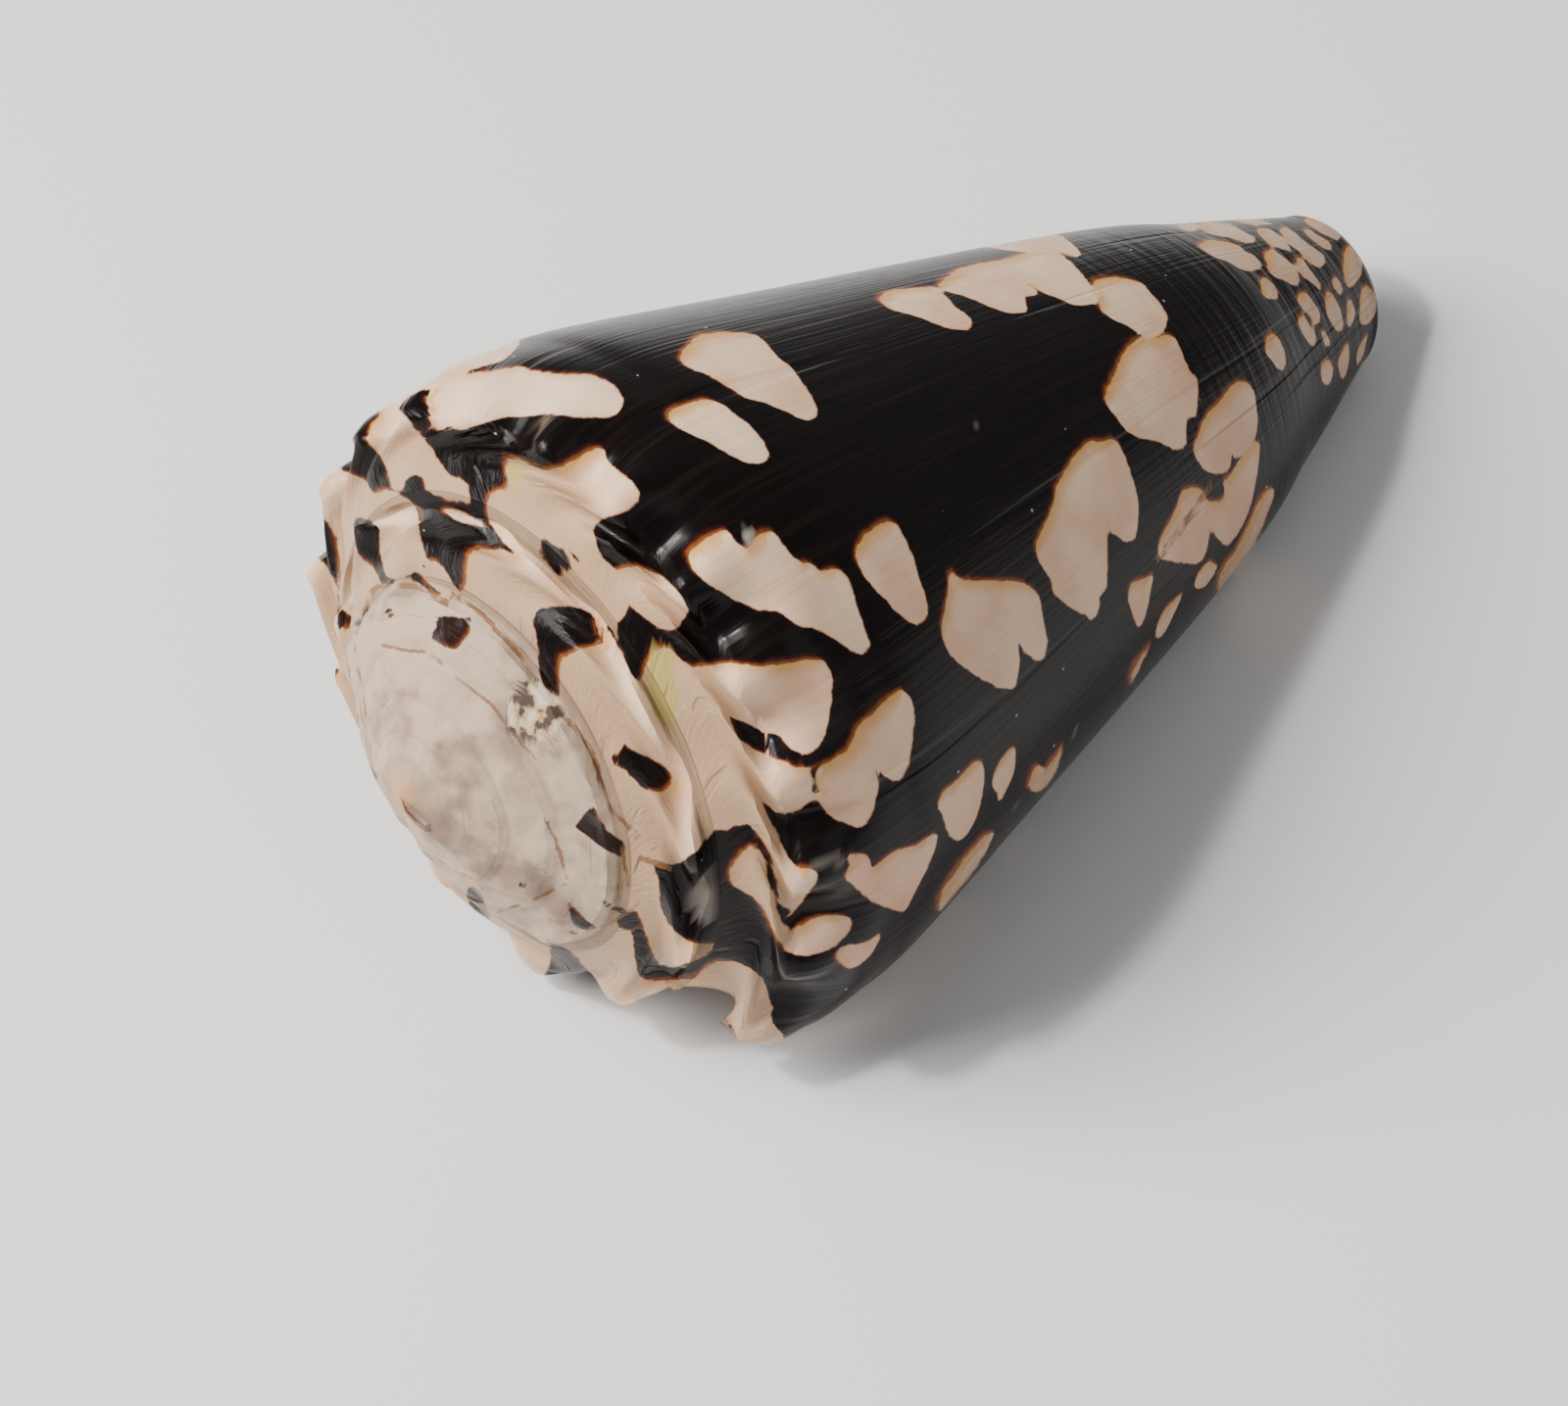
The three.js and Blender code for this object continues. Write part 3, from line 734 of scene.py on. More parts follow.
def formula(takes, gives):
    """Makes a function of amounts into a node group that is built once and used in many places."""

    def build(make):
        tree = bpy.data.node_groups.new(make.__name__.replace("_", " "), "GeometryNodeTree")
        inside = Sizes(tree)
        results = make(inside, *[inside[name] for name in takes])
        end = tree.nodes.new("NodeGroupOutput")
        for name, result in zip(gives, results):
            kind = "NodeSocketFloat" if isinstance(result, Amount) else "NodeSocketVector"
            tree.interface.new_socket(name, in_out="OUTPUT", socket_type=kind)
            join(tree, result, end.inputs[name])

        def use(size, *values):
            node = size.tree.nodes.new("GeometryNodeGroup")
            node.node_tree = tree
            given = dict(zip(takes, values))
            for socket in node.inputs:
                value = given[socket.name] if socket.name in given else size[socket.name]
                join(size.tree, value, socket)
            outputs = [node.outputs[name] for name in gives]
            kept = [Amount(size.tree, o) if o.type == "VALUE" else o for o in outputs]
            return kept[0] if len(kept) == 1 else kept

        return use

    return build


# The shell's surface as a rule. A place is its radius, height and azimuth.

PLACE = ("Radius", "Height", "Azimuth")


@formula(takes=["Angle"], gives=["Share"])
def growth(size, angle):
    per_radian = size["Growth per turn"].math("LOGARITHM", math.e) / TURN
    early = size["Early tightening"] * angle * angle.math("ABSOLUTE")
    return [(-(per_radian * angle + early)).math("EXPONENT")]


@formula(takes=["Share"], gives=["Height"])
def spire_height(size, share):
    return [size["Spire height"] * (1 - share ** size["Spire curve"])]


@formula(takes=["Angle"], gives=["Radius", "Height"])
def shoulder(size, angle):
    share = growth(size, angle)
    return [size["Shoulder radius"] * share, spire_height(size, share)]


@formula(takes=["Angle"], gives=["Worn"])
def worn_smooth(size, angle):
    return [smooth_rise(angle / TURN, size["Wear from"], size["Wear to"])]


@formula(takes=["Angle"], gives=["Crest"])
def knob(size, angle):
    turns = angle / TURN
    count = along_curve(turns, [(back / 360, n) for n, (back, _) in enumerate(KNOBS)])
    height = along_curve(turns, [(back / 360, height) for back, height in KNOBS])
    wave = (count * TURN).math("COSINE") * 0.5 + 0.5
    return [(1 - worn_smooth(size, angle)) * (height * wave - size["Knob mean"])]


@formula(takes=["Across"], gives=["Bend"])
def bend_on_ramp(size, across):
    return [along_curve(across, [(share, math.radians(bend)) for share, bend in NOTCH])]


@formula(takes=["Down"], gives=["Bend"])
def bend_on_side(size, down):
    return [math.radians(NOTCH[-1][1]) * (down / -size["Notch fade"]).math("EXPONENT")]


@formula(takes=["Angle", "Across"], gives=PLACE)
def ramp(size, angle, across):
    """The spire's surface, 0 at the inner suture and 1 at the shoulder."""
    share = growth(size, angle)
    outer_r, outer_z = shoulder(size, angle)
    inner_r, inner_z = shoulder(size, angle + TURN)
    width = outer_r - inner_r
    inner_z = inner_z - size["Suture drop"] * share
    hollow = size["Ramp hollow"] * width * (across * math.pi).math("SINE")
    rounding = size["Shoulder rounding"] * share * across**4
    lean = size["Knob lean"] * (1 - across)
    near_edge = (((1 - across) / size["Knob reach on ramp"]) ** 2 * -1).math("EXPONENT")
    crest = knob(size, angle - lean) * near_edge * outer_r
    drawn_in = size["Rounding drawn in"] * rounding
    r = inner_r + width * across + size["Knob out"] * crest * across - drawn_in
    grown = between(inner_z, outer_z, across) - hollow - rounding + size["Knob up"] * crest
    smooth = spire_height(size, r / size["Shoulder radius"])
    z = between(grown, smooth, worn_smooth(size, angle) * size["Wear share"])
    return [r, z, angle + bend_on_ramp(size, across)]


@formula(takes=["Angle", "Down"], gives=PLACE)
def free_side(size, angle, down):
    """The body whorl's side, 0 at the shoulder and 1 at the front end."""
    top_r, top_z = shoulder(size, angle)
    turns = angle / TURN
    cone = between(size["Shoulder radius"], size["Front radius"], down)
    cone = cone + along_curve(down, FULLNESS)
    later = turns.math("MAXIMUM", 0) ** 3 * size["Front shrink late"]
    front = (-(size["Front shrink"] * turns + later)).math("EXPONENT")
    share = between(growth(size, angle), front, down)
    near_edge = (((down / size["Knob reach on side"]) ** 2) * -1).math("EXPONENT")
    crest = knob(size, angle) * near_edge * top_r
    fade = (down / -size["Rounding reach"]).math("EXPONENT")
    rounding = size["Shoulder rounding"] * share * fade
    r = cone * share + size["Knob out"] * crest - size["Rounding drawn in"] * rounding
    z = between(top_z, -size["Body length"], down) + size["Knob up"] * crest - rounding
    return [r, z, angle + bend_on_side(size, down)]


@formula(takes=["Angle", "Radius", "Height", "Azimuth", "Pull"], gives=PLACE)
def pulled_in(size, angle, r, z, azimuth, pull):
    """The place, drawn by a share towards the suture of the turn outside it."""
    free_r, free_z, _ = free_side(size, angle, size["Suture drop"] / size["Body length"])
    suture_r, suture_z, _ = ramp(size, angle - TURN, 0)
    r = r + pull * (suture_r - free_r)
    z = z + pull * (suture_z - free_z)
    return [r, z, angle + (azimuth - angle) * (1 - pull)]


@formula(takes=["Radius", "Height", "Azimuth"], gives=["Point"])
def point(size, r, z, azimuth):
    vector = step(size.tree, "ShaderNodeCombineXYZ", Z=z)
    join(size.tree, r * azimuth.math("COSINE"), vector.inputs["X"])
    join(size.tree, r * azimuth.math("SINE"), vector.inputs["Y"])
    return [vector.outputs[0]]


@formula(takes=["Angle", "Across"], gives=["Point"])
def ramp_point(size, angle, across):
    return [point(size, *ramp(size, angle, across))]


@formula(takes=["Angle", "Down"], gives=["Point"])
def riser_point(size, angle, down):
    """From a shoulder, 0, to the suture below it, 1. The angle is the shoulder's."""
    r, z, azimuth = free_side(size, angle, down * (size["Suture drop"] / size["Body length"]))
    edge_z = ramp(size, angle, 1)[1]
    z = z + (1 - down) * (edge_z - free_side(size, angle, 0)[1])
    return [point(size, *pulled_in(size, angle, r, z, azimuth, down))]


@formula(takes=["Angle", "Down"], gives=PLACE)
def side(size, angle, down):
    """The body's side, which joins the suture where its turn ends."""
    first = size["Suture drop"] / size["Body length"]
    below = ((down - first) / -size["Join reach"]).math("EXPONENT")
    pull = (down / first).math("MINIMUM", below)
    pull = pull * smooth_rise(angle / TURN, size["Join from"], 1)
    return pulled_in(size, angle, *free_side(size, angle, down), pull)


@formula(takes=["Angle", "Down"], gives=["Point"])
def side_point(size, angle, down):
    return [point(size, *side(size, angle, down))]


@formula(takes=["Angle", "Share"], gives=["Point"])
def cap_point(size, angle, share):
    """The rounded front end, 0 at the side and 1 on the axis."""
    r, z, azimuth = side(size, angle, 1)
    quarter = share * (math.pi / 2)
    z = z - size["Front rounding"] * quarter.math("SINE")
    return [point(size, r * quarter.math("COSINE"), z, azimuth)]


def mixed(tree, first, second, share):
    """A point on the straight line between two."""
    node = tree.nodes.new("ShaderNodeMix")
    node.data_type = "VECTOR"
    ends = [socket for socket in node.inputs if socket.type == "VECTOR" and len(socket.name) == 1]
    join(tree, share, node.inputs["Factor"])
    join(tree, first, ends[0])
    join(tree, second, ends[1])
    return [socket for socket in node.outputs if socket.type == "VECTOR"][0]


def named(tree, geometry, name, value):
    """Stores a number on the points under a name."""
    node = tree.nodes.new("GeometryNodeStoreNamedAttribute")
    node.data_type = "FLOAT"
    node.domain = "POINT"
    node.inputs["Name"].default_value = name
    join(tree, geometry, node.inputs["Geometry"])
    join(tree, value, node.inputs["Value"])
    return node.outputs["Geometry"]


def grid(tree, columns, rows, rule, where=None):
    """A grid of faces whose points go where the rule puts them. The rule gets two shares.
    Each point keeps its winding, in turns, and its reach: -1 at a suture, 0 at the shoulder, 1 at
    the front end."""
    flat = step(tree, "GeometryNodeMeshGrid", Size_X=1, Size_Y=1)
    flat.inputs["Vertices X"].default_value = columns + 1
    flat.inputs["Vertices Y"].default_value = rows + 1
    position = tree.nodes.new("GeometryNodeInputPosition")
    split = step(tree, "ShaderNodeSeparateXYZ", Vector=position.outputs[0])
    along = Amount(tree, split.outputs["X"]) + 0.5
    across = Amount(tree, split.outputs["Y"]) + 0.5
    geometry = flat.outputs["Mesh"]
    for name, value in zip(("winding", "reach"), where(along, across) if where else ()):
        geometry = named(tree, geometry, name, value)
    placed = step(tree, "GeometryNodeSetPosition", Position=rule(along, across))
    join(tree, geometry, placed.inputs["Geometry"])
    return placed.outputs["Geometry"]


def joined(tree, parts):
    node = tree.nodes.new("GeometryNodeJoinGeometry")
    for part in reversed(parts):
        tree.links.new(part, node.inputs[0])
    return node.outputs[0]


def new_tree(name):
    """A Geometry Nodes tree whose named inputs come with their first use."""
    tree = bpy.data.node_groups.new(name, "GeometryNodeTree")
    tree.interface.new_socket("Geometry", in_out="INPUT", socket_type="NodeSocketGeometry")
    tree.interface.new_socket("Geometry", in_out="OUTPUT", socket_type="NodeSocketGeometry")
    return Sizes(tree)


def end_tree(tree, geometry, material):
    """The tree's last steps: real geometry with its material."""
    real = step(tree, "GeometryNodeRealizeInstances", Geometry=geometry)
    painted = step(tree, "GeometryNodeSetMaterial", Geometry=real.outputs[0])
    painted.inputs["Material"].default_value = material
    end = tree.nodes.new("NodeGroupOutput")
    tree.links.new(painted.outputs[0], end.inputs[0])


def grown_shell(size):
    """The whole surface, closed, and still filled where the aperture will be."""
    tree = size.tree
    apex = step(tree, "ShaderNodeCombineXYZ", Z=size["Spire height"]).outputs[0]
    last = SPIRE_TURNS - 1
    first = size["Suture drop"] / size["Body length"]

    def down_at(across):
        return between(first, 1, across ** size["Row crowding"])

    def ramp_rows(along, across):
        return ramp_point(size, along * (SPIRE_TURNS * TURN), across)

    def riser_rows(along, across):
        return riser_point(size, along * (last * TURN) + TURN, across)

    def upper_side(along, across):
        return side_point(size, along * TURN, across * first)

    def side_rows(along, across):
        return side_point(size, along * TURN, down_at(across))

    def cap_rows(along, across):
        return cap_point(size, along * TURN, across)

    def lip_wall(along, across):
        inner = side_point(size, TURN, down_at(across))
        outer = side_point(size, 0, down_at(across))
        return mixed(tree, inner, outer, along)

    def notch_wall(along, across):
        return mixed(tree, ramp_point(size, 0, 0), ramp_point(size, 0, across), along)

    def corner_wall(along, across):
        return mixed(tree, ramp_point(size, 0, 0), side_point(size, 0, across * first), along)

    def cap_wall(along, across):
        return mixed(tree, cap_point(size, TURN, across), cap_point(size, 0, across), along)

    def apex_fan(along, across):
        return mixed(tree, apex, ramp_point(size, (along + last) * TURN, 0), across)

    def apex_end(along, across):
        return mixed(tree, apex, ramp_point(size, SPIRE_TURNS * TURN, 1 - across), along)

    def apex_riser(along, across):
        return mixed(tree, apex, riser_point(size, SPIRE_TURNS * TURN, 1 - across), along)

    def on_ramp(along, across):
        return along * SPIRE_TURNS, across - 1

    def on_riser(along, across):
        return along * last + 1, across * first

    def on_upper_side(along, across):
        return along, across * first

    def on_side(along, across):
        return along, down_at(across)

    def on_cap(along, across):
        return along, across + 1

    def on_wall(along, across):
        return along * 0, across * 0 + 0.5

    def on_tip(along, across):
        return along * 0 + SPIRE_TURNS, across * 0 - 1

    parts = [
        grid(tree, COLUMNS * SPIRE_TURNS, RAMP_ROWS, ramp_rows, on_ramp),
        grid(tree, COLUMNS * last, RISER_ROWS, riser_rows, on_riser),
        grid(tree, COLUMNS, RISER_ROWS, upper_side, on_upper_side),
        grid(tree, COLUMNS, SIDE_ROWS, side_rows, on_side),
        grid(tree, COLUMNS, CAP_ROWS, cap_rows, on_cap),
        grid(tree, 1, SIDE_ROWS, lip_wall, on_wall),
        grid(tree, 1, RAMP_ROWS, notch_wall, on_wall),
        grid(tree, 1, RISER_ROWS, corner_wall, on_wall),
        grid(tree, 1, CAP_ROWS, cap_wall, on_wall),
        grid(tree, COLUMNS, TIP_ROWS, apex_fan, on_tip),
        grid(tree, TIP_ROWS, RAMP_ROWS, apex_end, on_tip),
        grid(tree, TIP_ROWS, RISER_ROWS, apex_riser, on_tip),
    ]
    return closed(tree, parts)


def closed(tree, parts):
    """Grids sewn into one closed surface that faces outwards."""
    flipped = step(tree, "GeometryNodeFlipFaces", Mesh=joined(tree, parts))
    merged = step(tree, "GeometryNodeMergeByDistance", Geometry=flipped.outputs[0])
    merged.inputs["Distance"].default_value = MERGE_WITHIN
    return merged.outputs[0]


@formula(takes=["Along", "Down"], gives=["Skin", "Core"])
def slot_walls(size, along, down):
    """The aperture's two walls: under the last turn's skin, and just over the turn before it."""
    angle = between(-size["Slot ahead"], size["Slot back"], along ** size["Slot crowding"])
    share = down ** size["Slot crowding"]
    deeper = smooth_rise(angle, 0, size["Wall thickens over"])
    wall = between(size["Lip wall"], size["Inner wall"], deeper)
    ahead = smooth_rise(angle, -size["Slot ahead"], 0)
    lift = between(size["Slot lift ahead"], size["Slot lift"], ahead)
    roof = ramp(size, angle, size["Roof under"])[1] - size["Roof wall"]
    corner = ramp(size, angle, 0)[1] - size["Roof wall"]
    skin_z = between(roof, size["Slot floor"], share)
    core_z = between(corner, size["Slot floor"], share)

    def share_down(z):
        return (z / -size["Body length"]).math("MAXIMUM", 0).math("MINIMUM", 1)

    skin = free_side(size, angle, share_down(skin_z))[0] - wall
    core = free_side(size, angle + TURN, share_down(core_z))[0] + lift
    core = core.math("MINIMUM", skin - size["Slot least"])
    return [point(size, skin, skin_z, angle), point(size, core, core_z, angle)]


@formula(takes=["Along", "Down", "Outward"], gives=["Point"])
def slot_point(size, along, down, outward):
    skin, core = slot_walls(size, along, down)
    return [mixed(size.tree, core, skin, outward)]


@formula(takes=["Along", "Down", "Outward"], gives=["Point"])
def notch_point(size, along, down, outward):
    """The room ahead of the growth line across the ramp."""
    across = between(size["Notch start"], size["Notch end"], outward)
    angle = between(-size["Slot ahead"], bend_on_ramp(size, across), along)
    z = size["Notch top"] - size["Notch depth"] * down
    return [point(size, ramp(size, angle, across)[0], z, angle)]


def room(size, place, columns, rows, layers):
    """A closed block of space. place gives a point for three shares: along, down and outward."""
    tree = size.tree
    walls = [
        grid(tree, columns, rows, lambda u, v: place(size, u, v, 1)),
        grid(tree, columns, rows, lambda u, v: place(size, u, 1 - v, 0)),
        grid(tree, columns, layers, lambda u, v: place(size, u, 0, v)),
        grid(tree, columns, layers, lambda u, v: place(size, u, 1, 1 - v)),
        grid(tree, layers, rows, lambda u, v: place(size, 0, v, u)),
        grid(tree, layers, rows, lambda u, v: place(size, 1, v, 1 - u)),
    ]
    return closed(tree, walls)


def opened(size, filled):
    """The shell with its aperture and the notch at the lip."""
    tree = size.tree
    node = tree.nodes.new("GeometryNodeMeshBoolean")
    node.operation = "DIFFERENCE"
    node.solver = "MANIFOLD"
    join(tree, filled, node.inputs["Mesh 1"])
    for space in (
        room(size, slot_point, SLOT_COLUMNS, SLOT_ROWS, 1),
        room(size, notch_point, NOTCH_COLUMNS, 1, NOTCH_COLUMNS),
    ):
        marked = named(tree, space, "inside", number(tree, 1))
        tree.links.new(marked, node.inputs["Mesh 2"])
    return node.outputs["Mesh"]


def made_by(tree, name, sizes):
    """A plain mesh object from a tree and its sizes."""
    mesh = bpy.data.meshes.new(name)
    thing = bpy.data.objects.new(name, mesh)
    bpy.context.scene.collection.objects.link(thing)
    modifier = thing.modifiers.new(name, "NODES")
    modifier.node_group = tree
    for item in tree.interface.items_tree:
        if item.item_type == "SOCKET" and item.in_out == "INPUT" and item.name in sizes:
            modifier[item.identifier] = float(sizes[item.name])
    shown = thing.evaluated_get(bpy.context.evaluated_depsgraph_get())
    plain = bpy.data.meshes.new_from_object(shown)
    thing.modifiers.remove(modifier)
    thing.data = plain
    bpy.data.meshes.remove(mesh)
    return thing


# Where the shell lies, and the camera

LYING = Euler((0, TIP, 0)).to_matrix() @ Euler((0, 0, ROLL)).to_matrix()


def lay_down(thing):
    """Turns the standing shell on to its side, in metres, on the floor."""
    mesh = thing.data
    standing = np.empty(len(mesh.vertices) * 3)
    mesh.vertices.foreach_get("co", standing)
    standing = standing.reshape(-1, 3)
    lying = (standing @ np.array(LYING).T + np.array(LAID_AT)) * DRAWN_IN * MM
    lying[:, 2] = np.maximum(lying[:, 2], 0)
    mesh.vertices.foreach_set("co", lying.ravel())
    mesh.update()


def add_camera():
    data = bpy.data.cameras.new("camera")
    data.lens = LENS
    data.sensor_width = SENSOR
    data.clip_start, data.clip_end = CLIP
    camera = bpy.data.objects.new("camera", data)
    camera.location = Vector(CAMERA_AT) * MM
    camera.rotation_euler = [math.radians(turn) for turn in CAMERA_TURN]
    bpy.context.scene.collection.objects.link(camera)
    bpy.context.scene.camera = camera


def add_floor():
    mesh = bpy.data.meshes.new("floor")
    half = FLOOR_HALF
    mesh.from_pydata(
        [(-half, -half, 0), (half, -half, 0), (half, half, 0), (-half, half, 0)], [], [(0, 1, 2, 3)]
    )
    floor = bpy.data.objects.new("floor", mesh)
    bpy.context.scene.collection.objects.link(floor)
    material = bpy.data.materials.new("pale floor")
    material.use_nodes = True
    shader = material.node_tree.nodes["Principled BSDF"]
    shader.inputs["Base Color"].default_value = (*FLOOR_COLOUR, 1)
    shader.inputs["Roughness"].default_value = FLOOR_ROUGH
    mesh.materials.append(material)


def add_light(name, at, size, power, colour):
    """A soft square light, in millimetres and watts, turned to the shell."""
    data = bpy.data.lights.new(name, "AREA")
    data.shape = "SQUARE"
    data.size = size * MM
    data.energy = power
    data.color = colour
    light = bpy.data.objects.new(name, data)
    light.location = Vector(at) * MM
    light.rotation_euler = (-light.location).to_track_quat("-Z", "Y").to_euler()
    bpy.context.scene.collection.objects.link(light)


def add_sky():
    world = bpy.data.worlds.new("studio")
    world.use_nodes = True
    background = world.node_tree.nodes["Background"]
    background.inputs["Color"].default_value = (*SKY_COLOUR, 1)
    background.inputs["Strength"].default_value = SKY_STRENGTH
    bpy.context.scene.world = world


# The camera's view, and the shell's points as it sees them

class View:
    """What the camera sees: pixels of the photograph, and rays from it, in millimetres."""

    def __init__(self):
        turn = Euler([math.radians(angle) for angle in CAMERA_TURN]).to_matrix()
        self.right, self.up, self.back = np.array(turn).T
        self.at = np.array(CAMERA_AT)
        self.middle = np.array(PHOTO_SIZE) / 2
        self.focal = LENS / SENSOR * PHOTO_SIZE[0]

    def pixels(self, places):
        away = places - self.at
        depth = -(away @ self.back) / self.focal
        shown = np.stack([away @ self.right / depth, away @ -self.up / depth], 1)
        return shown + self.middle

    def rays(self, pixels):
        across, down = ((np.asarray(pixels, float) - self.middle) / self.focal).T[:, :, None]
        rays = across * self.right - down * self.up - self.back
        return rays / np.linalg.norm(rays, axis=1)[:, None]


class Skin:
    """The shell's points with what painting needs: places, facing, winding and reach."""

    def __init__(self, thing):
        mesh = thing.data
        self.mesh = mesh
        self.view = View()
        self.places = self.read(mesh.vertices, "co", 3) / MM
        normals = self.read(mesh.vertices, "normal", 3)
        to_camera = self.view.at - self.places
        to_camera /= np.linalg.norm(to_camera, axis=1)[:, None]
        self.normals = normals
        self.facing = self.spread(np.sum(normals * to_camera, 1))
        self.pixels = self.view.pixels(self.places)
        self.winding = self.read(mesh.attributes["winding"].data, "value", 1)
        self.reach = self.read(mesh.attributes["reach"].data, "value", 1)
        self.outside = self.read(mesh.attributes["inside"].data, "value", 1) < 0.5
        shown = thing.evaluated_get(bpy.context.evaluated_depsgraph_get())
        self.lookup = BVHTree.FromObject(shown, bpy.context.evaluated_depsgraph_get())

    def read(self, items, name, width):
        values = np.empty(len(items) * width)
        items.foreach_get(name, values)
        return values.reshape(-1, width) if width > 1 else values

    def spread(self, values):
        """Values evened out over neighbouring points."""
        ends = np.empty(len(self.mesh.edges) * 2, int)
        self.mesh.edges.foreach_get("vertices", ends)
        one, other = ends.reshape(-1, 2).T
        count = np.bincount(one, minlength=len(values)) + np.bincount(other, minlength=len(values))
        for _ in range(SMOOTHING_ROUNDS):
            total = np.bincount(one, values[other], len(values))
            total += np.bincount(other, values[one], len(values))
            values = total / np.maximum(count, 1)
        return values

    def keep(self, name, values):
        attribute = self.mesh.attributes.new(name, "FLOAT", "POINT")
        attribute.data.foreach_set("value", values.astype(np.float32))

    def flat(self, outline):
        """The plane through what an outline's points show: its middle and two directions."""
        hits = []
        for ray in self.view.rays(outline):
            place = self.lookup.ray_cast(Vector(self.view.at * MM), Vector(ray))[0]
            if place is not None:
                hits.append(np.array(place) / MM)
        middle = np.mean(hits, 0)
        across, down, normal = np.linalg.svd(np.array(hits) - middle)[2][:3]
        if abs(normal @ self.view.back) < LEAST_FACING:
            across, down = self.view.right, -self.view.up
        return middle, across, down

    def on_flat(self, flat, pixels):
        """Where rays through pixels meet a plane, as millimetres along its two directions."""
        middle, across, down = flat
        normal = np.cross(across, down)
        rays = self.view.rays(pixels)
        far = ((middle - self.view.at) @ normal) / (rays @ normal)
        offset = self.view.at + rays * far[:, None] - middle
        return np.stack([offset @ across, offset @ down], 1)

    def near(self, outline):
        """The points that show near an outline."""
        margin = MARK_LIMIT * PIXELS_PER_MM
        low = np.min(outline, 0) - margin
        high = np.max(outline, 0) + margin
        within = np.all((self.pixels > low) & (self.pixels < high), 1)
        return np.nonzero(within & (self.facing > SEEN_TO - MARK_LIMIT / EDGE_GATE))[0]


# Fine relief of the mesh. Points only move inwards.

def share_between(values, low, high):
    """0 up to low, 1 from high on, and a smooth curve between."""
    share = np.clip((values - low) / (high - low), 0, 1)
    return share * share * (3 - 2 * share)


def dents(skin):
    """Depth of the dents over the worn spire."""
    worn = share_between(skin.winding, *DENTED_TURNS) * (skin.reach <= DENTED_REACH)
    depth = np.zeros(len(skin.places))
    for point_at in np.nonzero(worn > 0)[0]:
        place = Vector(skin.places[point_at])
        dent = sum(deep * (DENTS_MEAN + noise.noise(place / wide)) for wide, deep in DENTS)
        depth[point_at] = max(dent, 0) * worn[point_at]
    return depth


def grooves(skin):
    """Depth of the groove along the sutures."""
    first, last = GROOVE_TURNS
    away = (skin.reach + 1) / GROOVE_WIDTH
    groove = np.exp(-(away**2)) * (skin.winding > first) * (skin.winding < last)
    return GROOVE_DEPTH * groove * (skin.reach < 0)


def valleys(skin):
    """Depth of the hollows between knobs."""
    knobs = [back / 360 for back, _ in KNOBS]
    leaning = skin.winding + SIZES["Knob lean"] / TURN * np.minimum(skin.reach, 0)
    count = np.interp(leaning, knobs, range(len(knobs)))
    valley = (1 - np.cos(TURN * count)) / 2
    spread = np.where(skin.reach < 0, VALLEY_ON_RAMP, VALLEY_ON_SIDE)
    near_shoulder = np.exp(-((skin.reach / spread) ** 2)) * (skin.reach < 1)
    return VALLEY_DEPTH * valley * near_shoulder * (1 - share_between(skin.winding, *VALLEYS_FADE))


def wear_down(thing):
    """Takes the wear off the outside of the shell, which stays inside the plain solid's box."""
    skin = Skin(thing)
    depth = dents(skin) + grooves(skin) + valleys(skin)
    depth *= skin.outside * share_between(skin.winding, *WEAR_STARTS)
    lowered = (skin.places - skin.normals * depth[:, None]) * MM
    lowered = np.clip(lowered, cad_box[0], cad_box[1])
    thing.data.vertices.foreach_set("co", lowered.ravel())
    thing.data.update()


# Markings: how far inside each outline a point of the shell is

def rounded(points, ring=True):
    """A smooth curve through points, closed or open."""
    here = np.array(points, float)
    if not ring:
        here = np.concatenate([here[:1], here, here[-1:]])
    before, after, later = (np.roll(here, shift, 0)[:, None] for shift in (1, -1, -2))
    here = here[:, None]
    share = np.linspace(0, 1, CURVE_STEPS, endpoint=False)[None, :, None]
    bent = (
        2 * here
        + (after - before) * share
        + (2 * before - 5 * here + 4 * after - later) * share**2
        + (3 * here - before - 3 * after + later) * share**3
    ) / 2
    if not ring:
        bent = bent[1:-2]
    return bent.reshape(-1, 2)


def inside_by(places, outline):
    """How far inside an outline places are, negative outside, and the way that leads inwards."""
    nearest = np.full(len(places), np.inf)
    way = np.zeros_like(places)
    within = np.zeros(len(places), bool)
    for start, end in zip(outline, np.roll(outline, -1, 0)):
        edge = end - start
        if not edge.any():
            continue
        share = np.clip((places - start) @ edge / (edge @ edge), 0, 1)
        offset = start + share[:, None] * edge - places
        distance = np.hypot(*offset.T)
        nearer = distance < nearest
        nearest[nearer] = distance[nearer]
        way[nearer] = offset[nearer]
        crossed = (start[1] > places[:, 1]) != (end[1] > places[:, 1])
        if crossed.any():
            at = start[0] + (places[:, 1] - start[1]) * edge[0] / edge[1]
            within ^= crossed & (places[:, 0] < at)
    sign = np.where(within, 1, -1)
    way = -way * (sign / np.maximum(nearest, MERGE_WITHIN))[:, None]
    return nearest * sign, way


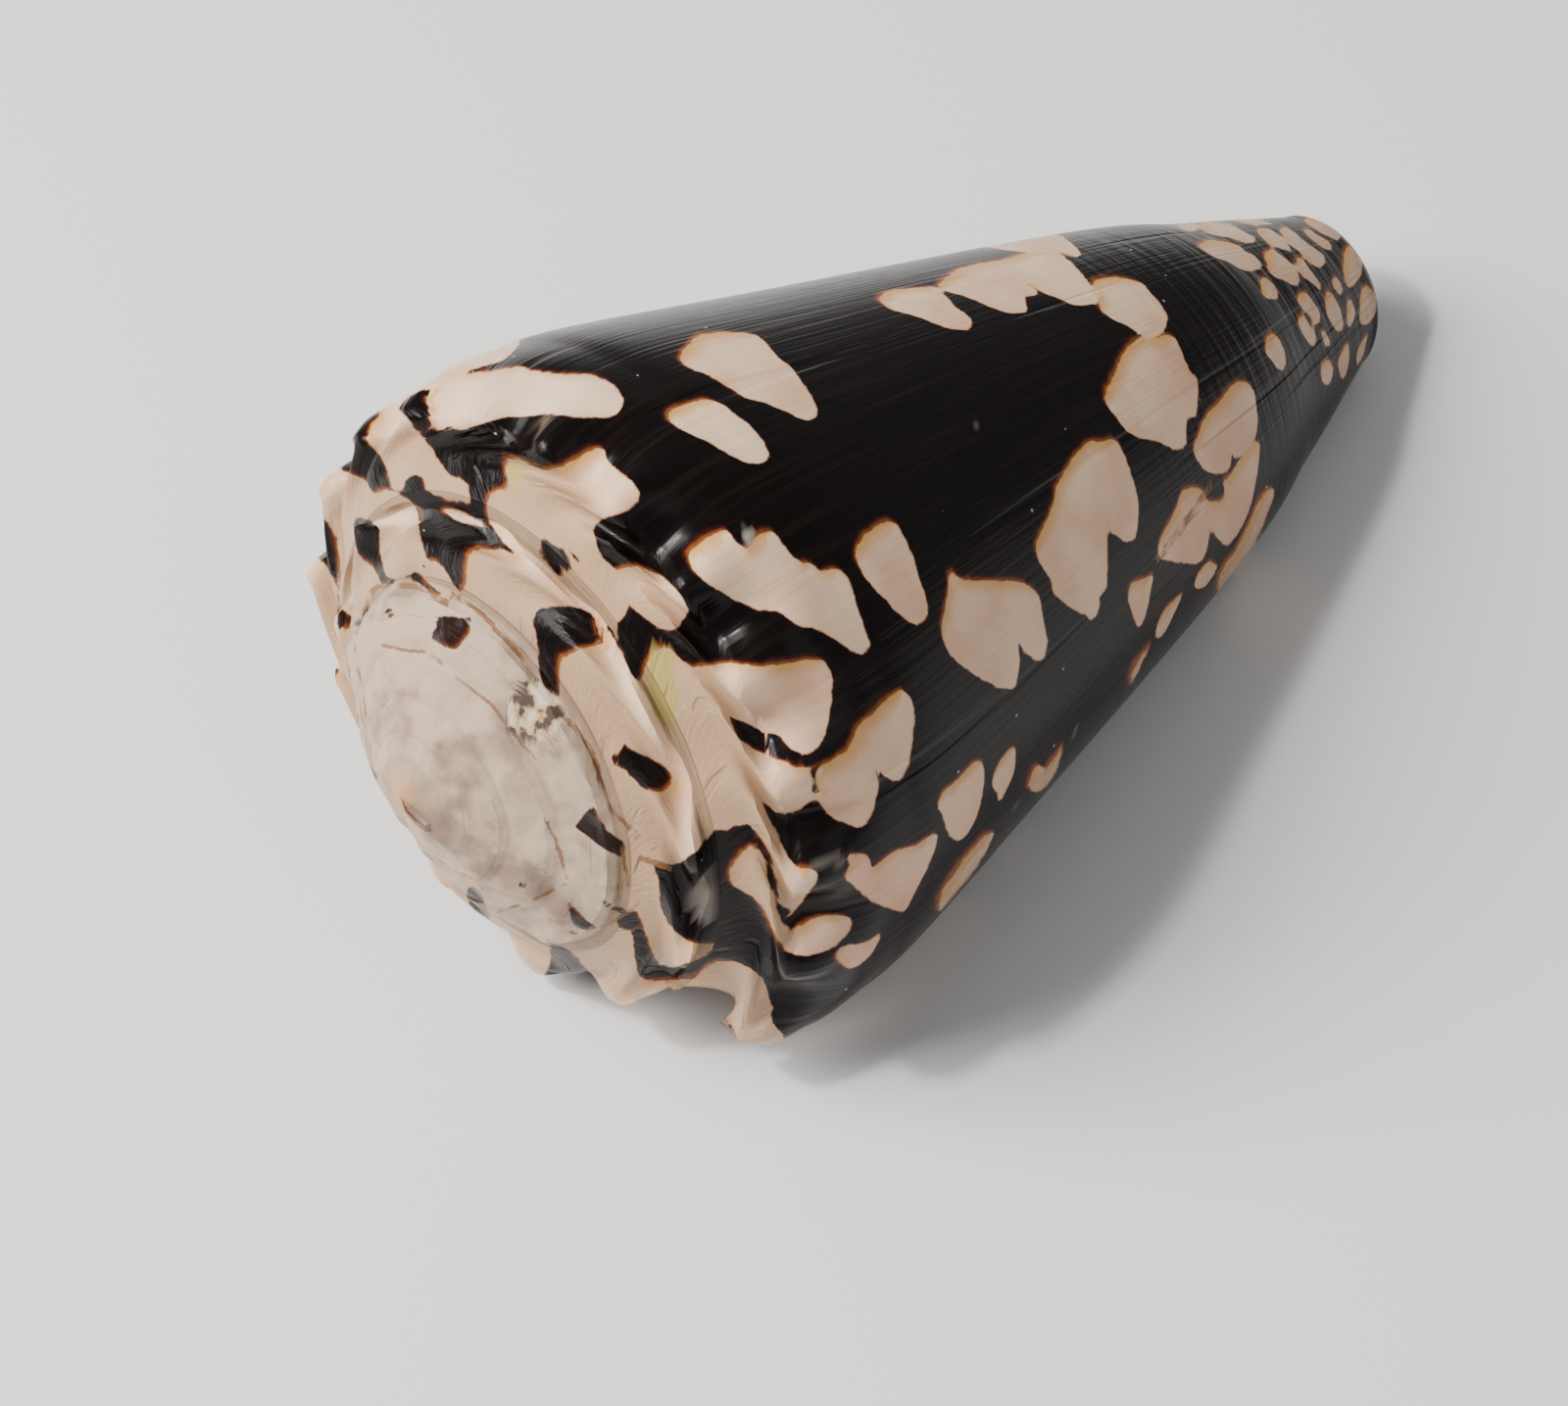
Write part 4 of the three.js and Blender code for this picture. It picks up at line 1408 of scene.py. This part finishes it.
def shown_inside(skin, outline):
    """Points near an outline of the photograph, how far inside they are, and their lean: 1 where
    the way inwards leads down to the right in the picture."""
    flat = skin.flat(outline)
    chosen = skin.near(outline)
    curve = skin.on_flat(flat, rounded(outline))
    distance, way = inside_by(skin.on_flat(flat, skin.pixels[chosen]), curve)
    _, across, down = flat
    sun = SUN_WAY[0] * skin.view.right - SUN_WAY[1] * skin.view.up
    sun = np.array([sun @ across, sun @ down])
    lean = way @ sun / np.linalg.norm(sun)
    if np.ptp(outline, 0).max() < SMALL_MARK:
        distance = distance - TIGHTER
    gate = (skin.facing[chosen] - SEEN_TO) * EDGE_GATE
    return chosen, np.minimum(distance, gate), np.where(distance < gate, lean, 0)


def cover(mark, lean, chosen, distance, leans, sign):
    """Adds an outline to the markings: sign 1 for pale, and -1 for dark over pale."""
    inside = distance * sign
    better = (inside - mark[chosen]) * sign > 0
    mark[chosen[better]] = inside[better]
    lean[chosen[better]] = leans[better] * sign


def hidden_spots(skin, among, draw, scale_at):
    """Tents scattered over points that the camera doesn't see: for each, the points near it, how
    far inside they are and their lean."""
    axis = np.array(LYING) @ np.array([0, 0, -1])
    kept = []
    for _ in range(TENTS_TRIED):
        centre = among[draw.integers(len(among))]
        outline = np.array(TENTS[draw.integers(len(TENTS))], float)
        scale = scale_at(skin.reach[centre]) * draw.uniform(*TENT_SCALES)
        size = np.abs(outline).max() * scale
        place = skin.places[centre]
        gaps = [np.linalg.norm(place - other) - size - span for other, span in kept]
        if gaps and min(gaps) < -TENT_GAP * size - OVERLAP:
            continue
        kept.append((place, size))
        normal = skin.normals[centre]
        down = axis - (axis @ normal) * normal
        down /= np.linalg.norm(down)
        back = np.cross(normal, down)
        offset = skin.places - place
        near = np.nonzero(np.linalg.norm(offset, axis=1) < TENT_REACH)[0]
        flat = np.stack([offset[near] @ back, offset[near] @ down], 1)
        distance, way = inside_by(flat, rounded(outline * scale))
        yield near, distance, way @ np.array(SUN_WAY)


def paint_hidden(skin, mark, lean):
    """Markings on the side away from the camera, in the same style."""
    draw = np.random.default_rng(TENT_SEED)
    gate = (HIDDEN_FROM - skin.facing) * EDGE_GATE
    spire = (skin.winding > 1) | (skin.reach < 0)
    bars = np.sin(TURN * BARS_PER_TURN * skin.winding + BARS_SLANT * skin.reach)
    crown = np.where(skin.winding > 1, BARS_HIGH, BARS_MEAN + BARS_HIGH * bars)
    below = np.maximum(skin.reach, 0) * SIZES["Body length"] / BARS_FADE
    crown = np.where(spire | (skin.reach < BARS_REACH), crown - below, -MARK_LIMIT)
    dark = np.full(len(mark), -MARK_LIMIT)
    spired = np.nonzero(spire & (skin.facing < 0) & (skin.reach > SPOTS_FROM))[0]
    for near, distance, _ in hidden_spots(skin, spired, draw, lambda reach: SPIRE_SPOTS):
        dark[near] = np.maximum(dark[near], distance)
    crown = np.minimum(crown, -dark)
    crown = np.minimum(crown, gate + CROWN_OVERLAP)
    mark[:] = np.maximum(mark, crown)
    sided = np.nonzero(~spire & (skin.facing < HIDDEN_FROM) & (skin.reach < TENTS_TO))[0]

    def size_at(reach):
        return FRONT_TENT_SHARE if reach > FRONT_FROM else 1

    for near, distance, leans in hidden_spots(skin, sided, draw, size_at):
        distance = np.minimum(distance, gate[near])
        cover(mark, lean, near, distance, leans, 1)


def paint_threads(skin):
    """Thin lines: signed distance over half the line's width, and how far past its ends."""
    side = np.full(len(skin.places), THREAD_FAR)
    past = np.full(len(skin.places), THREAD_FAR)
    nearest = np.full(len(skin.places), MARK_LIMIT)
    for half, line in THREADS:
        chosen = skin.near(line)
        curve = rounded(line, ring=False) / PIXELS_PER_MM
        places = skin.pixels[chosen] / PIXELS_PER_MM
        for start, end in zip(curve[:-1], curve[1:]):
            edge = end - start
            length = np.hypot(*edge)
            if not length:
                continue
            along = (places - start) @ edge / length
            across = (places - start) @ np.array([-edge[1], edge[0]]) / length
            beyond = np.maximum(np.maximum(-along, along - length), 0)
            distance = np.hypot(across, beyond)
            nearer = distance < nearest[chosen]
            kept = chosen[nearer]
            nearest[kept] = distance[nearer]
            slant = np.clip(skin.facing[kept] * SLANT_GAIN, SLANT_LEAST, 1)
            side[kept] = across[nearer] / (half / PIXELS_PER_MM) / slant
            past[kept] = beyond[nearer]
    skin.keep("thread", side)
    skin.keep("thread end", past)


def paint_soft(skin, name, outlines):
    """A soft patch's strength, from pairs of a strength and an outline."""
    patch = np.zeros(len(skin.places))
    for strength, outline in outlines:
        chosen, distance, _ = shown_inside(skin, outline)
        soft = np.clip(distance / SOFT_EDGE + 0.5, 0, 1) * strength
        patch[chosen] = np.maximum(patch[chosen], soft)
    skin.keep(name, patch)


def paint(thing):
    """Stores the markings on the shell's points."""
    skin = Skin(thing)
    mark = np.full(len(skin.places), -float(MARK_LIMIT))
    lean = np.zeros(len(skin.places))
    for sign, outlines in ((1, PALE), (-1, DARK)):
        for outline in outlines:
            cover(mark, lean, *shown_inside(skin, outline), sign)
    paint_hidden(skin, mark, lean)
    skin.keep("mark", np.clip(mark, -MARK_LIMIT, MARK_LIMIT))
    skin.keep("lean", lean)
    paint_threads(skin)
    paint_soft(skin, "ghost", GHOSTS)
    paint_soft(skin, "chip", [(1, CHIP)])
    paint_soft(skin, "stain", [(1, outline) for outline in STAINS])
    away = np.hypot(*(skin.pixels - NUCLEUS).T)
    nucleus = np.clip(NUCLEUS_RADIUS / np.maximum(away, 1) - 0.5, 0, 1)
    skin.keep("nucleus", nucleus * (skin.facing > 0))


# Material

def stored(tree, name):
    node = tree.nodes.new("ShaderNodeAttribute")
    node.attribute_name = name
    return Amount(tree, node.outputs["Fac"])


def tinted(tree, base, colour, share):
    """A colour part of the way to another."""
    node = tree.nodes.new("ShaderNodeMix")
    node.data_type = "RGBA"
    ends = [socket for socket in node.inputs if socket.type == "RGBA"]
    join(tree, share, node.inputs["Factor"])
    for end, value in zip(ends, (base, colour)):
        join(tree, (*value, 1) if isinstance(value, tuple) else value, end)
    return [socket for socket in node.outputs if socket.type == "RGBA"][0]


def cloud(tree, place, scale, detail):
    """Soft noise round its middle at a place."""
    node = step(tree, "ShaderNodeTexNoise", Vector=place, Scale=scale, Detail=detail)
    return Amount(tree, node.outputs["Fac"])


def wavering(noise_there, strength):
    """Noise round zero."""
    return (noise_there - NOISE_MIDDLE) * strength


def dots(tree, place, scale, radius, share):
    """1 inside small dots, in a share of a pattern's cells."""
    node = step(tree, "ShaderNodeTexVoronoi", Vector=place, Scale=scale)
    split = step(tree, "ShaderNodeSeparateColor", Color=node.outputs["Color"])
    chosen = Amount(tree, split.outputs[0]).math("LESS_THAN", share)
    distance = Amount(tree, node.outputs["Distance"])
    return chosen * (1 - smooth_rise(distance, radius * DOT_CORE, radius))


def shades(tree, value, stops):
    """A colour for each value, from pairs of a place and a colour."""
    node = tree.nodes.new("ShaderNodeValToRGB")
    elements = node.color_ramp.elements
    while len(elements) < len(stops):
        elements.new(0.5)
    for element, (place, colour) in zip(elements, stops):
        element.position = place
        element.color = (*colour, 1)
    join(tree, value, node.inputs[0])
    return node.outputs[0]


class Enamel:
    """What the shell's colours and finest relief are worked out from: the place on the shell,
    noise of several sizes, and the markings."""

    def __init__(self, tree):
        self.tree = tree
        self.place = tree.nodes.new("ShaderNodeTexCoord").outputs["Object"]
        self.winding = stored(tree, "winding")
        self.reach = stored(tree, "reach")
        self.inner = stored(tree, "inside").math("GREATER_THAN", 0.5)
        self.outer = 1 - self.inner
        self.noise = {name: cloud(tree, self.place, *grain) for name, grain in NOISE.items()}
        self.lines = {name: self.lined(*cells) for name, cells in LINES.items()}
        turns = self.winding + wavering(self.noise["broad"], WORN_WAVER)
        self.worn = self.shows("worn", turns) * self.outer
        self.chip = stored(tree, "chip")
        self.thread = self.thread_line()
        dust = dots(tree, self.place, DUST_CELLS, DUST_RADIUS, DUST_SHARE)
        self.dust = dust * (1 - self.worn)
        self.mark_edges()

    def lined(self, around, down, detail):
        """Noise drawn out along the shell or round it."""
        cells = step(self.tree, "ShaderNodeCombineXYZ", X=self.winding * around, Y=self.reach * down)
        return cloud(self.tree, cells.outputs[0], 1, detail)

    def shows(self, look, value):
        return smooth_rise(value, *SHOWS[look])

    def thread_line(self):
        """1 on the thin brown lines, which noise breaks up."""
        line = 1 - self.shows("off a thread", stored(self.tree, "thread").math("ABSOLUTE"))
        line = line * (1 - self.shows("past a thread", stored(self.tree, "thread end")))
        return line * self.shows("unbroken thread", self.noise["middle"])

    def mark_edges(self):
        """Pale or dark, and how far out into the dark and into the pale a rim has come."""
        middle = self.noise["middle"]
        mark = stored(self.tree, "mark") + wavering(middle, EDGE_WAVER)
        mark = mark + wavering(self.noise["fine"], EDGE_GRAIN)
        self.lean = stored(self.tree, "lean").math("MAXIMUM", 0)
        self.pale = self.shows("pale", mark)
        band = FRINGE_LEAST + self.lean * (FRINGE_MOST - FRINGE_LEAST) * (middle + NOISE_MIDDLE)
        self.outward = (mark * -1 / band).math("MAXIMUM", 0).math("MINIMUM", 1)
        gold = GOLD_LEAST + self.lean * GOLD_MOST
        self.inward = (mark / gold).math("MAXIMUM", 0).math("MINIMUM", 1)

    def dark(self):
        """Black, with a brown and red rim round the pale marks."""
        tree = self.tree
        warmth = self.shows("warm black", self.lines["growth"])
        black = tinted(tree, BLACK, BLACK_WARM, warmth)
        rim = tinted(tree, FRINGE_RED, FRINGE_BROWN, between(*BROWN_RIM, self.lean))
        rim = tinted(tree, rim, FRINGE_RED, self.shows("red rim", self.outward))
        dark = tinted(tree, rim, black, self.shows("black past rim", self.outward))
        return tinted(tree, dark, BROWN, self.worn * STRENGTH["brown"])

    def light(self):
        """Cream, golden at its rims, duller on the crown, chalk on the worn spire, and painted shade
        in patches beside the spire's sutures.
        """
        tree = self.tree
        broad = self.noise["broad"]
        lip_near = 1 - self.shows("past the lip", self.winding)
        cream = tinted(tree, CREAM, PEACH, self.shows("peach", broad))
        front = self.shows("tan", self.reach + wavering(broad, TAN_WAVER))
        cream = tinted(tree, cream, TAN, front * STRENGTH["tan"])
        gold = (1 - smooth_rise(self.inward, 0, 1)) * between(*GOLD_RIM, self.lean)
        cream = tinted(tree, cream, FRINGE_GOLD, gold)
        cream = tinted(tree, cream, TAN, lip_near * STRENGTH["tan at the lip"])
        crown = STRENGTH["crown"] - lip_near * STRENGTH["crown at the lip"]
        crown = self.shows("crown", self.reach * -1) * crown
        cream = tinted(tree, cream, CROWN_CREAM, crown)
        shade = self.shows("chalk shade", broad + wavering(self.noise["middle"], CHALK_WAVER))
        chalk = tinted(tree, CHALK, CHALK_SHADE, shade)
        light = tinted(tree, cream, chalk, self.worn)
        # Painted shade: the ramp darkens in patches next to each suture, where shade falls between
        # the whorls
        hollow = 1 - self.shows("out of suture shade", self.reach)
        hollow = hollow * self.shows("suture shade turns", self.winding) * self.outer
        hollow = hollow * STRENGTH["hollow"] * self.shows("suture shade patches", broad)
        return tinted(tree, light, SUTURE_SHADE, hollow)

    def colour(self):
        tree = self.tree
        broad = self.noise["broad"]
        stain = stored(tree, "stain") * self.shows("stain", broad) * STRENGTH["stain"]
        chipped = shades(tree, self.noise["chip"], CHIP_SHADES)
        glaze = tinted(tree, GLAZE, GLAZE_BLUE, self.shows("blue glaze", broad))
        colour = tinted(tree, self.dark(), self.light(), self.pale)
        for tint, share in (
            (THREAD_BROWN, self.thread * STRENGTH["thread"]),
            (GHOST_GREY, stored(tree, "ghost")),
            (STAIN_GREEN, stain),
            (chipped, self.chip),
            (NUCLEUS_TAN, stored(tree, "nucleus") * STRENGTH["nucleus"]),
            (DUST, self.dust * STRENGTH["dust"]),
            (glaze, self.inner),
        ):
            colour = tinted(tree, colour, tint, share)
        return colour

    def roughness(self):
        rough = between(BODY_ROUGH, SPIRE_ROUGH, self.worn * self.pale)
        rough = rough + wavering(self.noise["middle"], ROUGH_WAVER)
        for name, value in (("pale", self.pale), ("chip", self.chip), ("dust", self.dust)):
            rough = rough + value * ROUGHER[name]
        return rough

    def relief(self):
        """Lines on the body, and lumps and pits on the worn spire, in millimetres."""
        cords = self.lines["cords"] * self.shows("cords", self.reach)
        rests = self.shows("rests", self.lines["rests"])
        body = cords * RELIEF["cords"] + self.lines["growth"] * RELIEF["growth"]
        body = (body - rests * RELIEF["rests"]) * (1 - self.worn)
        spire = self.noise["lumps"] * RELIEF["lumps"] + self.noise["middle"] * RELIEF["pits"]
        height = body + spire * self.worn + self.noise["fine"] * RELIEF["fine"]
        height = height - self.chip * RELIEF["chip"] - self.thread * RELIEF["thread"]
        return height * self.outer


def shell_material():
    """Black and cream glaze on the body, a worn chalky spire, and a bluish white glaze inside."""
    material = bpy.data.materials.new("shell enamel")
    material.use_nodes = True
    tree = material.node_tree
    shader = tree.nodes["Principled BSDF"]
    enamel = Enamel(tree)
    join(tree, enamel.colour(), shader.inputs["Base Color"])
    join(tree, enamel.roughness(), shader.inputs["Roughness"])
    shader.inputs["IOR"].default_value = GLOSS_IOR
    shader.inputs["Coat Weight"].default_value = COAT
    shader.inputs["Coat Roughness"].default_value = COAT_ROUGH
    bump = step(tree, "ShaderNodeBump", Height=enamel.relief(), Strength=1.0, Distance=MM)
    join(tree, bump.outputs[0], shader.inputs["Normal"])
    return material


add_camera()
add_floor()
add_sky()
for light in LIGHTS:
    add_light(*light)

size = new_tree("shell by its growth rule")
end_tree(size.tree, opened(size, grown_shell(size)), shell_material())
shell = made_by(size.tree, "cone_shell", SIZES)
lay_down(shell)
wear_down(shell)
paint(shell)
shell.data.shade_smooth()
shell.data.set_sharp_from_angle(angle=SHARP_EDGE)
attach(shell, "root")
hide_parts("shell")
